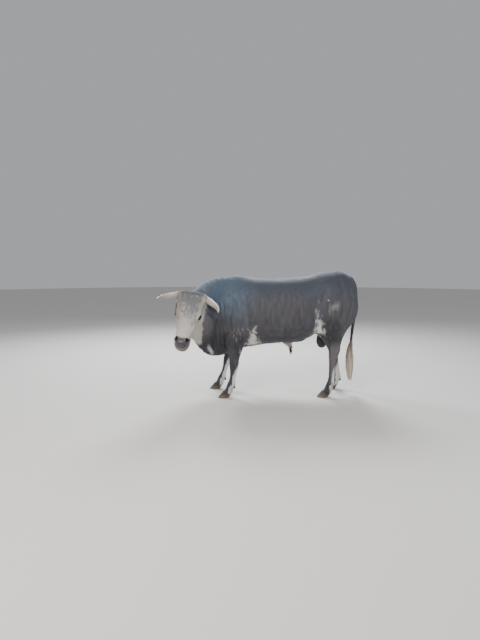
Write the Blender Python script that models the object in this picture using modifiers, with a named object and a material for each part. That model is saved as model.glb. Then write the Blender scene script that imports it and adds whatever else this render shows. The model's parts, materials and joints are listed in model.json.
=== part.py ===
"""A standing bull at life size, its head lowered and turned to its left.

The animal faces -X, its left side faces -Y, and it stands on Z = 0. It is modelled whole, as
lofted masses that a voxel remesh fuses, and then parted with thin cuts into its named parts.
"""

import math
from collections import namedtuple

import bmesh
import bpy
import numpy as np
from mathutils import Matrix, Vector

# Driving dimensions, in metres. X runs from the withers (0) towards the tail.
HIP_HEIGHT = 1.46
WITHERS_HEIGHT = 1.42
HEAD_LENGTH = 0.62
FORE_TRACK = 0.21
HIND_TRACK = 0.195
GAP = 0.0003
MERGE = 0.00001
SHARP = math.radians(40)

# How finely the fused body and head are drawn.
TRUNK_VOXEL = 0.014
BODY_VOXEL = 0.011
HEAD_VOXEL = 0.0052
BODY_TRIANGLES = 5300
HEAD_TRIANGLES = 3900

# Where the head is carried, and how it is turned.
POLL = Vector((-0.495, -0.589, 1.251))
HEAD_HEADING = math.radians(20)
HEAD_PITCH = math.radians(57)
HEAD_ROLL = math.radians(19)

COLOURS = {
    "coat_dark": (0.075, 0.060, 0.056),
    "coat_pale": (0.62, 0.58, 0.52),
    "horn": (0.66, 0.58, 0.48),
    "claw": (0.10, 0.085, 0.075),
    "eye": (0.015, 0.010, 0.008),
    "hair_pale": (0.60, 0.52, 0.40),
}
ROUGHNESS = {"eye": 0.08, "horn": 0.42, "claw": 0.5}

Rib = namedtuple("Rib", "x top bottom half_width widest top_power low_power")
Collar = namedtuple("Collar", "x y top bottom half_width top_power low_power turn")
Slice = namedtuple("Slice", "z x y fore_aft sideways power")
Brow = namedtuple("Brow", "along top bottom half_width widest top_power low_power")
Stance = namedtuple("Stance", "name slices side track step")


# The trunk, from the brisket to the buttocks.
TRUNK = [
    Rib(-0.415, 0.98, 0.60, 0.09, 0.80, 2.0, 1.8),
    Rib(-0.375, 1.13, 0.49, 0.160, 0.82, 2.0, 1.7),
    Rib(-0.30, 1.28, 0.445, 0.225, 0.86, 2.0, 1.6),
    Rib(-0.20, 1.365, 0.465, 0.28, 0.90, 1.9, 1.6),
    Rib(-0.09, 1.408, 0.515, 0.315, 0.93, 1.75, 1.8),
    Rib(0.00, WITHERS_HEIGHT - 0.006, 0.55, 0.330, 0.94, 1.75, 1.95),
    Rib(0.12, 1.388, 0.572, 0.345, 0.94, 1.95, 2.05),
    Rib(0.28, 1.374, 0.60, 0.365, 0.93, 2.15, 2.15),
    Rib(0.46, 1.376, 0.618, 0.385, 0.93, 2.2, 2.2),
    Rib(0.64, 1.384, 0.632, 0.387, 0.95, 2.2, 2.2),
    Rib(0.80, 1.404, 0.675, 0.365, 0.99, 2.2, 2.15),
    Rib(0.91, 1.438, 0.74, 0.335, 1.03, 2.15, 2.1),
    Rib(1.02, 1.452, 0.79, 0.32, 1.06, 2.1, 2.1),
    Rib(1.13, HIP_HEIGHT, 0.81, 0.315, 1.07, 2.1, 2.1),
    Rib(1.23, 1.434, 0.83, 0.295, 1.07, 2.1, 2.1),
    Rib(1.31, 1.365, 0.86, 0.245, 1.07, 2.1, 2.1),
    Rib(1.355, 1.27, 0.92, 0.17, 1.08, 2.0, 2.0),
    Rib(1.372, 1.18, 1.00, 0.07, 1.08, 2.0, 2.0),
]

# What stands out on the trunk: name, centre, radii. The muscles are mirrored to the left side.
TRUNK_MUSCLES = [
    ("shoulder_blade", (0.00, 0.205, 1.03), (0.150, 0.092, 0.24)),
    ("shoulder_point", (-0.20, 0.225, 0.86), (0.115, 0.095, 0.15)),
    ("upper_arm", (0.02, 0.262, 0.83), (0.150, 0.090, 0.16)),
    ("hip_bone", (0.93, 0.212, 1.280), (0.120, 0.066, 0.068)),
    ("pin_bone", (1.285, 0.115, 1.20), (0.075, 0.055, 0.075)),
    ("rump", (1.13, 0.205, 1.04), (0.225, 0.130, 0.25)),
    ("stifle", (0.955, 0.225, 0.80), (0.095, 0.085, 0.115)),
    ("flank_fold", (0.865, 0.245, 0.835), (0.085, 0.060, 0.075)),
]

SHEATH_FOLD = ("sheath_fold", (0.66, 0, 0.645), (0.12, 0.045, 0.030))

# The neck, bending to the left from the shoulders to the poll. turn is its heading from -X.
NECK = [
    Collar(0.02, 0.0, 1.385, 0.66, 0.25, 1.8, 1.9, 0),
    Collar(-0.12, -0.01, 1.395, 0.51, 0.265, 1.8, 1.7, 8),
    Collar(-0.245, -0.06, 1.388, 0.470, 0.25, 1.85, 1.5, 22),
    Collar(-0.35, -0.155, 1.362, 0.480, 0.225, 1.9, 1.4, 38),
    Collar(-0.425, -0.28, 1.315, 0.555, 0.195, 1.95, 1.38, 54),
    Collar(-0.465, -0.395, 1.260, 0.650, 0.170, 2.0, 1.42, 66),
    Collar(-0.487, -0.49, 1.195, 0.700, 0.140, 2.0, 1.45, 74),
    Collar(-0.512, -0.56, 1.090, 0.735, 0.092, 2.0, 1.5, 78),
    Collar(-0.528, -0.60, 1.020, 0.790, 0.040, 2.0, 1.6, 78),
]

# The head in its own frame: along runs from the poll to the muzzle, heights from the brow.
HEAD = [
    Brow(-0.035, -0.055, -0.20, 0.100, -0.10, 2.0, 2.0),
    Brow(-0.005, -0.014, -0.24, 0.148, -0.09, 2.6, 2.0),
    Brow(0.05, 0.004, -0.280, 0.158, -0.09, 2.9, 2.1),
    Brow(0.12, 0.006, -0.300, 0.150, -0.10, 2.9, 2.3),
    Brow(0.19, 0.000, -0.298, 0.145, -0.11, 2.8, 2.4),
    Brow(0.25, -0.008, -0.275, 0.136, -0.11, 2.6, 2.4),
    Brow(0.32, -0.018, -0.243, 0.115, -0.105, 2.4, 2.3),
    Brow(0.385, -0.028, -0.228, 0.096, -0.105, 2.3, 2.2),
    Brow(0.45, -0.036, -0.220, 0.083, -0.11, 2.3, 2.2),
    Brow(0.505, -0.042, -0.219, 0.080, -0.12, 2.5, 2.3),
    Brow(0.545, -0.054, -0.222, 0.081, -0.13, 2.7, 2.4),
    Brow(0.578, -0.080, -0.222, 0.073, -0.14, 2.7, 2.4),
    Brow(0.603, -0.110, -0.210, 0.057, -0.15, 2.5, 2.4),
    Brow(HEAD_LENGTH - 0.003, -0.138, -0.190, 0.034, -0.162, 2.3, 2.2),
]

# Each leg as horizontal slices, top to bottom; y is measured outwards from the leg's track.
FORE_LEG = [
    Slice(0.98, 0.00, 0.02, 0.15, 0.10, 2.0),
    Slice(0.86, -0.02, 0.025, 0.145, 0.10, 2.0),
    Slice(0.76, -0.025, 0.02, 0.13, 0.095, 2.0),
    Slice(0.68, -0.035, 0.012, 0.115, 0.085, 2.0),
    Slice(0.60, -0.05, 0.008, 0.093, 0.073, 2.0),
    Slice(0.52, -0.06, 0.004, 0.075, 0.062, 2.0),
    Slice(0.45, -0.066, 0.0, 0.060, 0.054, 2.0),
    Slice(0.405, -0.068, 0.0, 0.057, 0.056, 2.2),
    Slice(0.365, -0.070, 0.0, 0.056, 0.057, 2.3),
    Slice(0.32, -0.074, 0.0, 0.046, 0.046, 2.2),
    Slice(0.26, -0.082, 0.0, 0.038, 0.039, 2.0),
    Slice(0.20, -0.092, 0.0, 0.039, 0.040, 2.0),
    Slice(0.155, -0.102, 0.0, 0.048, 0.049, 2.1),
    Slice(0.125, -0.112, 0.0, 0.050, 0.051, 2.1),
    Slice(0.09, -0.132, 0.0, 0.044, 0.050, 2.1),
    Slice(0.062, -0.146, 0.0, 0.060, 0.062, 2.3),
    Slice(0.040, -0.158, 0.0, 0.060, 0.062, 2.4),
]
HIND_LEG = [
    Slice(1.14, 1.12, 0.0, 0.20, 0.10, 2.0),
    Slice(1.02, 1.115, 0.005, 0.235, 0.13, 2.0),
    Slice(0.90, 1.085, 0.005, 0.225, 0.135, 2.0),
    Slice(0.81, 1.06, 0.0, 0.185, 0.125, 2.0),
    Slice(0.73, 1.055, 0.0, 0.145, 0.105, 2.0),
    Slice(0.66, 1.065, 0.0, 0.108, 0.083, 2.0),
    Slice(0.60, 1.078, 0.0, 0.085, 0.064, 2.0),
    Slice(0.55, 1.088, 0.0, 0.072, 0.054, 2.0),
    Slice(0.50, 1.084, 0.0, 0.062, 0.052, 2.1),
    Slice(0.45, 1.074, 0.0, 0.050, 0.048, 2.1),
    Slice(0.38, 1.068, 0.0, 0.040, 0.041, 2.0),
    Slice(0.29, 1.064, 0.0, 0.037, 0.038, 2.0),
    Slice(0.21, 1.060, 0.0, 0.040, 0.040, 2.0),
    Slice(0.16, 1.050, 0.0, 0.049, 0.049, 2.1),
    Slice(0.128, 1.040, 0.0, 0.050, 0.050, 2.1),
    Slice(0.092, 1.020, 0.0, 0.044, 0.049, 2.1),
    Slice(0.064, 1.006, 0.0, 0.060, 0.062, 2.3),
    Slice(0.040, 0.993, 0.0, 0.060, 0.062, 2.4),
]

# The stance: how far each hoof is set forward (-) or back (+), from this height down.
STANCES = [
    Stance("left_foreleg", FORE_LEG, -1, FORE_TRACK, 0.0),
    Stance("right_foreleg", FORE_LEG, 1, FORE_TRACK, -0.12),
    Stance("left_hindleg", HIND_LEG, -1, HIND_TRACK, 0.0),
    Stance("right_hindleg", HIND_LEG, 1, HIND_TRACK, 0.155),
]
STEP_FROM = {"fore": 0.85, "hind": 0.95}
STEP_DOWN_TO = 0.15

# How the lofts are drawn: points round a ring, and rings between two rows of sizes.
TRUNK_POINTS = 40
NECK_POINTS = 36
LEG_POINTS = 28
ROW_STEPS = 4
LEG_STEPS = 3
NECK_CREST = 0.02

# The cuts that part the trunk. Outlines run round the part that is taken away.
HEAD_EDGE = [(-0.16, 0.164), (0.13, -0.31), (0.80, -0.31), (0.80, 0.30), (-0.16, 0.30)]
NECK_EDGE = [(-0.115, 1.60), (-0.30, 0.80), (-0.43, 0.615), (-0.90, 0.50), (-0.90, 1.60)]
FORE_SLANT = [
    (0.115, 0.525), (0.46, 0.83), (0.60, 0.83), (0.60, -0.10), (0.02, -0.10), (0.02, 0.42), (0.115, 0.42),
]
FORE_EDGE = [
    (-0.19, 0.95), (-0.19, 0.50), (-0.45, 0.30), (-0.45, -0.10), (0.20, -0.10), (0.11, 0.60), (0.125, 0.95),
]
HIND_SLANT = [(0.050, 0.755), (0.46, 1.06), (0.60, 1.06), (0.60, -0.10), (0.050, -0.10)]
HIND_EDGE = [(0.865, 1.20), (0.865, 0.77), (0.80, -0.10), (1.60, -0.10), (1.60, 1.20)]
LEG_ROOM = 0.35
HALF_BREADTH = 0.80
HEAD_ROOM = 0.26

# The foot. The claws meet the leg at the coronet, which falls towards the heel.
CORONET = 0.060
CORONET_TILT = 0.16
CLAW_SLOPE = 0.72
CLAW_POINTS = 9
TOE_REACH = 1.08
HEEL_REACH = 0.96
CLAW_FULLNESS = 0.8
CLEFT_FLARE = 0.7
CLEFT_SHARES = (0.72, 0.28)
FLOOR_CUT = 0.2
CLAW_LEVELS = [
    (0.0, 0.064, 0.050, 0.0060),
    (0.018, 0.062, 0.051, 0.0055),
    (CORONET, 0.051, 0.051, 0.0045),
]

# The small claws behind the pastern: where they leave the leg, and how they point.
DEWCLAW_ROOT = Vector((0.060, 0.022, 0.142))
DEWCLAW_REACH = Vector((0.032, 0.004, -0.030))
DEWCLAW_RADII = [(0, 0.013), (0.45, 0.013), (0.8, 0.010), (1, 0.005)]

HORN_SIDES = 10
HORN_PATH = [
    (0.030, 0.120, -0.062), (0.046, 0.166, -0.052), (0.098, 0.230, -0.006), (0.146, 0.282, 0.040),
    (0.192, 0.312, 0.078), (0.226, 0.320, 0.112), (0.238, 0.321, 0.126),
]
HORN_RADII = [0.037, 0.035, 0.030, 0.024, 0.017, 0.009, 0.004]
HORN_DROOP = 0.014

# The left ear stands out sideways; the right one is laid back along the neck.
EAR_DIRECTIONS = {1: (0.05, 0.75, -0.64), -1: (0.05, -0.30, -0.95)}
EAR_ROOT = (0.090, 0.128, -0.105)
EAR_OPENING = (0.30, 0.45, 0.85)
EAR_DROOP = 0.6
EAR_RIM = 0.45
EAR_POINTS = 7
EAR = [
    (0.0, 0.022, 0.010, 0.034), (0.03, 0.026, 0.022, 0.024), (0.07, 0.040, 0.038, 0.012),
    (0.115, 0.046, 0.036, 0.009), (0.16, 0.040, 0.026, 0.008), (0.195, 0.025, 0.013, 0.007),
    (0.215, 0.009, 0.003, 0.006),
]

EYE = Vector((0.258, 0.112, -0.060))
EYE_RADIUS = 0.0235
EYE_OUT = (0.30, 0.86, 0.41)
EYE_SLIT = (0.91, -0.40, 0.09)
LID_POINTS = 16
LID_LENGTH = 0.033
LID_HEIGHT = 0.019
LID_OUT = 0.013
LID_RADIUS = 0.0075
LID_FULLNESS = 0.25

# The parted lips run round the muzzle, and stop short of the inside of the jaws.
MOUTH_GAP = 0.009
MOUTH_LEAN = math.radians(8)
PARTING = ((0.560, 0, -0.152), (0.088, 0.125, MOUTH_GAP / 2))
JAWS = ((0.490, 0, -0.150), (0.112, 0.064, 0.080))

TAIL_PATH = [
    (1.22, 0, 1.378), (1.295, 0, 1.358), (1.348, 0, 1.27), (1.368, 0, 1.15), (1.362, 0, 1.00),
    (1.346, 0, 0.85), (1.330, 0, 0.70), (1.318, 0, 0.575),
]
TAIL_RADII = [0.040, 0.042, 0.034, 0.027, 0.024, 0.022, 0.020, 0.018]

# What hangs under the belly.
SCROTUM_PATH = [
    (0.985, 0, 0.86), (0.982, 0, 0.78), (0.978, 0, 0.70), (0.975, 0, 0.62), (0.974, 0, 0.565),
    (0.974, 0, 0.546),
]
SCROTUM_RADII = [0.040, 0.046, 0.060, 0.067, 0.046, 0.012]
SHEATH_PATH = [
    (0.43, 0, 0.672), (0.50, 0, 0.640), (0.555, 0, 0.610), (0.590, 0, 0.582), (0.602, 0, 0.558),
    (0.604, 0, 0.540),
]
SHEATH_RADII = [0.022, 0.027, 0.032, 0.034, 0.027, 0.014]

# The switch: a spindle of hair, and the locks that lie over it.
SWITCH_PATH = [
    (1.319, 0, 0.60), (1.315, 0, 0.55), (1.310, 0, 0.47), (1.310, 0, 0.38), (1.314, 0, 0.29),
    (1.318, 0, 0.21), (1.320, 0, 0.165),
]
SWITCH_RADII = [0.023, 0.028, 0.034, 0.037, 0.032, 0.020, 0.005]
LOCKS = 10
GOLDEN_ANGLE = math.radians(137.5)
LOCK_SHAPE = [(0.55, 0.016), (0.95, 0.022), (1.12, 0.021), (1.22, 0.014), (1.15, 0.003)]
LOCK_STRIDE = 2
LOCK_TAIL = 0.012
LOCK_THICKNESS = 0.42
LOCK_SWAY = 0.012
LOCK_TURN = 1.7
LOCK_SIDES = 6

# The flesh over the bones of the face, on the left side and mirrored: place and radii.
FACE = [
    ("brow", (0.222, 0.098, -0.056), (0.088, 0.044, 0.040)),
    ("orbit", (0.254, 0.099, -0.060), (0.060, 0.040, 0.044)),
    ("cheek", (0.185, 0.100, -0.175), (0.100, 0.054, 0.100)),
    ("jaw", (0.140, 0.088, -0.235), (0.070, 0.052, 0.062)),
    ("cheekbone", (0.335, 0.072, -0.085), (0.090, 0.040, 0.030)),
    ("horn_seat", (0.046, 0.132, -0.056), (0.048, 0.044, 0.046)),
    ("ear_seat", (0.090, 0.122, -0.112), (0.042, 0.040, 0.038)),
    ("nostril_rim", (0.528, 0.050, -0.078), (0.050, 0.034, 0.030)),
    ("lip", (0.540, 0.048, -0.132), (0.062, 0.034, 0.034)),
]
FACE_MIDDLE = [
    ("poll_cushion", (0.038, 0, -0.032), (0.048, 0.120, 0.046)),
    ("chin", (0.572, 0, -0.196), (0.048, 0.048, 0.030)),
    ("nose_pad", (0.563, 0, -0.098), (0.036, 0.058, 0.042)),
]
NOSTRIL = (0.532, 0.055, -0.062)
NOSTRIL_RADII = (0.026, 0.013, 0.020)
WING_POINTS = 9
WING_FROM, WING_SWEEP = math.radians(-60), math.radians(210)
WING_MIDDLE = Vector((-0.004, 0, 0.002))
WING_REACH = (-0.0156, 0.017, 0.010)
WING_RADIUS = 0.005
NOSTRIL_SLANT = math.radians(-35)
NOSTRIL_RISE = math.radians(25)
SLIT_OUT = Vector((0, 0, 0.026))
SLIT_RADII = (0.0255, 0.0135, 0.021)


def clear_scene():
    for thing in list(bpy.data.objects):
        bpy.data.objects.remove(thing)


def collection(name, hidden=False):
    made = bpy.data.collections.new(name)
    bpy.context.scene.collection.children.link(made)
    made.hide_render = hidden
    return made


def put(name, mesh, where):
    thing = bpy.data.objects.new(name, mesh)
    where.objects.link(thing)
    return thing


def paint(thing, finish):
    material = bpy.data.materials.get(finish) or bpy.data.materials.new(finish)
    material.use_nodes = True
    shader = material.node_tree.nodes["Principled BSDF"]
    shader.inputs["Base Color"].default_value = (*COLOURS[finish], 1)
    shader.inputs["Roughness"].default_value = ROUGHNESS.get(finish, 0.8)
    shader.inputs["Metallic"].default_value = 0
    thing.data.materials.clear()
    thing.data.materials.append(material)


def spline(rows, steps):
    """Rows of sizes, filled in with a smooth curve through each column."""
    sizes = np.array([tuple(row) for row in rows], float)
    padded = np.vstack([2 * sizes[0] - sizes[1], sizes, 2 * sizes[-1] - sizes[-2]])
    filled = []
    for i in range(1, len(padded) - 2):
        before, start, end, after = padded[i - 1 : i + 3]
        for t in np.linspace(0, 1, steps, endpoint=False):
            slope_in, slope_out = (end - before) / 2, (after - start) / 2
            filled.append(
                start * (2 * t**3 - 3 * t**2 + 1)
                + slope_in * (t**3 - 2 * t**2 + t)
                + end * (3 * t**2 - 2 * t**3)
                + slope_out * (t**3 - t**2)
            )
    filled.append(padded[-2])
    return filled


def oval(centre, side, up, half_width, rise, drop, top_power, low_power, count):
    """A closed outline round centre: a superellipse with its own rise and drop."""
    ring = []
    for i in range(count):
        angle = 2 * math.pi * i / count
        across, height = math.cos(angle), math.sin(angle)
        power = top_power if height >= 0 else low_power
        reach = rise if height >= 0 else drop
        out = half_width * math.copysign(abs(across) ** (2 / power), across)
        lift = reach * math.copysign(abs(height) ** (2 / power), height)
        ring.append(centre + side * out + up * lift)
    return ring


def loft(name, rings, where):
    """A closed solid through rings of the same number of points."""
    shape = bmesh.new()
    rows = [[shape.verts.new(point) for point in ring] for ring in rings]
    count = len(rings[0])
    for low, high in zip(rows, rows[1:]):
        for i in range(count):
            j = (i + 1) % count
            shape.faces.new((low[i], low[j], high[j], high[i]))
    shape.faces.new(rows[0][::-1])
    shape.faces.new(rows[-1])
    bmesh.ops.triangulate(shape, faces=shape.faces)
    bmesh.ops.recalc_face_normals(shape, faces=shape.faces)
    mesh = bpy.data.meshes.new(name)
    shape.to_mesh(mesh)
    shape.free()
    return put(name, mesh, where)


def ball(name, centre, radii, where, turn=None, segments=24):
    """An ellipsoid of flesh, turned by a matrix where it doesn't lie along the axes."""
    shape = bmesh.new()
    bmesh.ops.create_uvsphere(shape, u_segments=segments, v_segments=segments // 2, radius=1)
    placed = Matrix.Translation(centre) @ (turn or Matrix()).to_4x4() @ Matrix.Diagonal((*radii, 1))
    bmesh.ops.transform(shape, matrix=placed, verts=shape.verts)
    bmesh.ops.recalc_face_normals(shape, faces=shape.faces)
    mesh = bpy.data.meshes.new(name)
    shape.to_mesh(mesh)
    shape.free()
    return put(name, mesh, where)


def tube(name, points, radii, sides, where, closed=False):
    """A round rod through points, tapering with the radii: a beveled curve made one mesh."""
    curve = bpy.data.curves.new(name, "CURVE")
    curve.dimensions = "3D"
    curve.bevel_depth = 1.0
    curve.bevel_resolution = (sides - 4) // 2
    curve.use_fill_caps = not closed
    line = curve.splines.new("POLY")
    line.points.add(len(points) - 1)
    line.use_cyclic_u = closed
    for knot, point, radius in zip(line.points, points, radii):
        knot.co = (*point, 1)
        knot.radius = radius
    drawn = put(name, curve, where)
    bpy.context.view_layer.update()
    graph = bpy.context.evaluated_depsgraph_get()
    mesh = bpy.data.meshes.new_from_object(drawn.evaluated_get(graph))
    bpy.data.objects.remove(drawn)
    shape = bmesh.new()
    shape.from_mesh(mesh)
    bmesh.ops.remove_doubles(shape, verts=shape.verts, dist=MERGE)
    bmesh.ops.triangulate(shape, faces=shape.faces)
    bmesh.ops.recalc_face_normals(shape, faces=shape.faces)
    shape.to_mesh(mesh)
    shape.free()
    return put(name, mesh, where)


def smooth_path(points, sizes, steps):
    """Points and their sizes, filled in along a smooth curve."""
    rows = spline([(*point, size) for point, size in zip(points, sizes)], steps)
    return [row[:3] for row in rows], [row[3] for row in rows]


def settle(thing):
    """Applies the modifiers of an object, in place."""
    bpy.context.view_layer.update()
    graph = bpy.context.evaluated_depsgraph_get()
    mesh = bpy.data.meshes.new_from_object(thing.evaluated_get(graph))
    thing.modifiers.clear()
    thing.data = mesh
    return thing


def fuse(name, masses, voxel, smoothing, triangles, where):
    """One skin round all the masses: a voxel remesh, softened and thinned out."""
    shape = bmesh.new()
    for mass in masses:
        shape.from_mesh(mass.data)
    mesh = bpy.data.meshes.new(name)
    shape.to_mesh(mesh)
    shape.free()
    body = put(name, mesh, where)
    remesh = body.modifiers.new("skin", "REMESH")
    remesh.mode = "VOXEL"
    remesh.voxel_size = voxel
    soften = body.modifiers.new("soften", "SMOOTH")
    soften.factor = 0.5
    soften.iterations = smoothing
    settle(body)
    if triangles:
        thin = body.modifiers.new("thin", "DECIMATE")
        thin.use_collapse_triangulate = True
        thin.ratio = triangles / sum(len(face.vertices) - 2 for face in body.data.polygons)
        settle(body)
    return largest(body)


def largest(thing):
    """Keeps the largest closed surface of a mesh, and drops loose scraps."""
    shape = bmesh.new()
    shape.from_mesh(thing.data)
    islands, seen = [], set()
    for seed in shape.verts:
        if seed in seen:
            continue
        seen.add(seed)
        island = [seed]
        for here in island:
            for edge in here.link_edges:
                there = edge.other_vert(here)
                if there not in seen:
                    seen.add(there)
                    island.append(there)
        islands.append(island)
    if len(islands) > 1:
        islands.sort(key=len)
        scraps = [vertex for island in islands[:-1] for vertex in island]
        bmesh.ops.delete(shape, geom=scraps, context="VERTS")
        shape.to_mesh(thing.data)
    shape.free()
    return thing


def boolean(thing, other, operation, solver="EXACT"):
    step = thing.modifiers.new(operation.lower(), "BOOLEAN")
    step.operation = operation
    step.object = other
    step.solver = solver
    return settle(thing)


def copy_of(thing, name, where):
    return put(name, thing.data.copy(), where)


def swollen(thing, gap, where):
    """A copy of a solid, grown by the gap that touching meshes keep."""
    shape = bmesh.new()
    shape.from_mesh(thing.data)
    shape.normal_update()
    moves = [vertex.normal * gap * min(2, vertex.calc_shell_factor()) for vertex in shape.verts]
    for vertex, move in zip(shape.verts, moves):
        vertex.co += move
    mesh = bpy.data.meshes.new(thing.name + "_room")
    shape.to_mesh(mesh)
    shape.free()
    return put(thing.name + "_room", mesh, where)


def seat(child, parent, where):
    """Cuts in the parent the socket that the child's root sits in."""
    boolean(parent, swollen(child, GAP, where), "DIFFERENCE")
    largest(parent)


def prism(name, outline, axis, low, high, where, place=None):
    """A cutter: an outline in the plane square to one axis, drawn out from low to high."""
    place = place or Matrix()
    rings = []
    for depth in (low, high):
        ring = []
        for point in outline:
            spot = list(point)
            spot.insert(axis, depth)
            ring.append(place @ Vector(spot))
        rings.append(ring)
    return loft(name, rings, where)


def head_frame():
    """Local head axes (along, left, up) as a world matrix at the poll."""
    ahead = Vector((-math.sin(HEAD_HEADING), -math.cos(HEAD_HEADING), 0))
    along = ahead * math.cos(HEAD_PITCH) - Vector((0, 0, math.sin(HEAD_PITCH)))
    left = Vector((0, 0, 1)).cross(ahead)
    up = left.cross(along)
    if up.z < 0:
        up = -up
    level = left.copy()
    left = level * math.cos(HEAD_ROLL) - up * math.sin(HEAD_ROLL)
    up = level * math.sin(HEAD_ROLL) + up * math.cos(HEAD_ROLL)
    axes = Matrix((along, left, up)).transposed().to_4x4()
    return Matrix.Translation(POLL) @ axes


HEAD_PLACE = head_frame()


def on_head(along, left, up):
    return HEAD_PLACE @ Vector((along, left, up))


def trunk_masses(where):
    rings = []
    for row in spline(TRUNK, ROW_STEPS):
        rib = Rib(*row)
        centre = Vector((rib.x, 0, rib.widest))
        rise, drop = rib.top - rib.widest, rib.widest - rib.bottom
        rings.append(
            oval(centre, Vector((0, 1, 0)), Vector((0, 0, 1)), rib.half_width, rise, drop,
                 rib.top_power, rib.low_power, TRUNK_POINTS)
        )
    yield loft("trunk", rings, where)
    for side in (1, -1):
        for name, (x, y, z), radii in TRUNK_MUSCLES:
            yield ball(name, Vector((x, side * y, z)), radii, where)
    yield ball(*SHEATH_FOLD, where)


def neck_masses(where):
    rings = []
    for row in spline(NECK, ROW_STEPS):
        collar = Collar(*row)
        heading = math.radians(collar.turn)
        side = Vector((-math.sin(heading), math.cos(heading), 0))
        middle = (collar.top + collar.bottom) / 2 + NECK_CREST
        centre = Vector((collar.x, collar.y, middle))
        rings.append(
            oval(centre, side, Vector((0, 0, 1)), collar.half_width, collar.top - middle,
                 middle - collar.bottom, collar.top_power, collar.low_power, NECK_POINTS)
        )
    yield loft("neck_mass", rings, where)


def head_masses(where):
    turned = HEAD_PLACE.to_3x3()
    left, up = turned @ Vector((0, 1, 0)), turned @ Vector((0, 0, 1))
    rings = []
    for row in spline(HEAD, ROW_STEPS):
        brow = Brow(*row)
        rings.append(
            oval(on_head(brow.along, 0, brow.widest), left, up, brow.half_width,
                 brow.top - brow.widest, brow.widest - brow.bottom,
                 brow.top_power, brow.low_power, TRUNK_POINTS)
        )
    yield loft("head_mass", rings, where)


def stepped(stance, z):
    """How far a slice of this leg at height z is shifted by its step."""
    free = STEP_FROM["fore" if stance.slices is FORE_LEG else "hind"]
    share = min(1, max(0, (free - z) / (free - STEP_DOWN_TO)))
    return stance.step * share


def leg_masses(stance, where):
    rings = []
    for row in spline(stance.slices, LEG_STEPS):
        cut = Slice(*row)
        x = cut.x + stepped(stance, cut.z)
        y = stance.side * (stance.track + cut.y)
        rings.append(
            oval(Vector((x, y, cut.z)), Vector((1, 0, 0)), Vector((0, 1, 0)), cut.fore_aft,
                 cut.sideways, cut.sideways, cut.power, cut.power, LEG_POINTS)
        )
    yield loft(stance.name + "_mass", rings, where)


def leg_cutter(stance, where):
    """The room that a leg takes from the trunk: a slanting top and a front and rear edge."""
    fore = stance.slices is FORE_LEG
    slant = FORE_SLANT if fore else HIND_SLANT
    edge = FORE_EDGE if fore else HIND_EDGE
    low, high = sorted((edge[0][0] - LEG_ROOM, edge[-1][0] + LEG_ROOM))
    seen_ahead = [(stance.side * y, z) for y, z in slant]
    cutter = prism(stance.name + "_cutter", seen_ahead, 0, low, high, where)
    profile = prism(stance.name + "_profile", edge, 1, -HALF_BREADTH, HALF_BREADTH, where)
    return boolean(cutter, profile, "INTERSECT")


def claw(name, stance, outer, where):
    """One claw of a cloven hoof: a flat sole, a sloping wall, and a top along the coronet."""
    toe_x, toe_y = coronet(stance)
    side = outer * stance.side
    rings = []
    for level, length, width, part in CLAW_LEVELS:
        ring = []
        middle = toe_x - CLAW_SLOPE * (CORONET - level)
        for i in range(CLAW_POINTS):
            angle = math.pi * i / (CLAW_POINTS - 1)
            ahead = -length * math.cos(angle) * (TOE_REACH if angle < math.pi / 2 else HEEL_REACH)
            out = width * math.sin(angle) ** CLAW_FULLNESS
            split = part * (1 + CLEFT_FLARE * math.cos(angle))
            ring.append((middle + ahead, split + out))
        for share in CLEFT_SHARES:
            ahead = length * ((TOE_REACH + HEEL_REACH) * share - TOE_REACH)
            ring.append((middle + ahead, part * (1 + CLEFT_FLARE * (1 - 2 * share))))
        tilt = CORONET_TILT if level == CORONET else 0
        rings.append([
            Vector((x, toe_y + side * y, level - tilt * (x - toe_x) - (GAP if tilt else 0)))
            for x, y in ring
        ])
    return loft(name, rings, where)


def coronet(stance):
    """Where the middle of the coronet of this foot is."""
    ring = stance.slices[-2]
    return ring.x + stepped(stance, CORONET), stance.side * (stance.track + ring.y)


def ground(middle, where):
    """A block under the slope of the coronet: what the hoof takes from the leg."""
    front, rear = middle - FLOOR_CUT, middle + FLOOR_CUT
    fall = FLOOR_CUT * CORONET_TILT
    outline = [(front, CORONET + fall), (rear, CORONET - fall), (rear, -FLOOR_CUT), (front, -FLOOR_CUT)]
    return prism("floor", outline, 1, -HALF_BREADTH, HALF_BREADTH, where)


def dewclaw(name, stance, outer, where):
    heel_x, heel_y = coronet(stance)
    side = outer * stance.side
    turned = Vector((1, side, 1))
    start = Vector((heel_x, heel_y, 0)) + DEWCLAW_ROOT * turned
    points = [start + DEWCLAW_REACH * turned * share for share, _ in DEWCLAW_RADII]
    return tube(name, points, [radius for _, radius in DEWCLAW_RADII], 8, where)


def horn(name, side, where):
    """A horn curving out, forward and down; the left one droops a little more than the right."""
    knots = []
    for i, (along, left, up) in enumerate(HORN_PATH):
        droop = side * HORN_DROOP * (i / (len(HORN_PATH) - 1)) ** 2
        knots.append(on_head(along + droop, side * left, up))
    points, radii = smooth_path(knots, HORN_RADII, 2)
    return tube(name, points, radii, HORN_SIDES, where)


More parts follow.
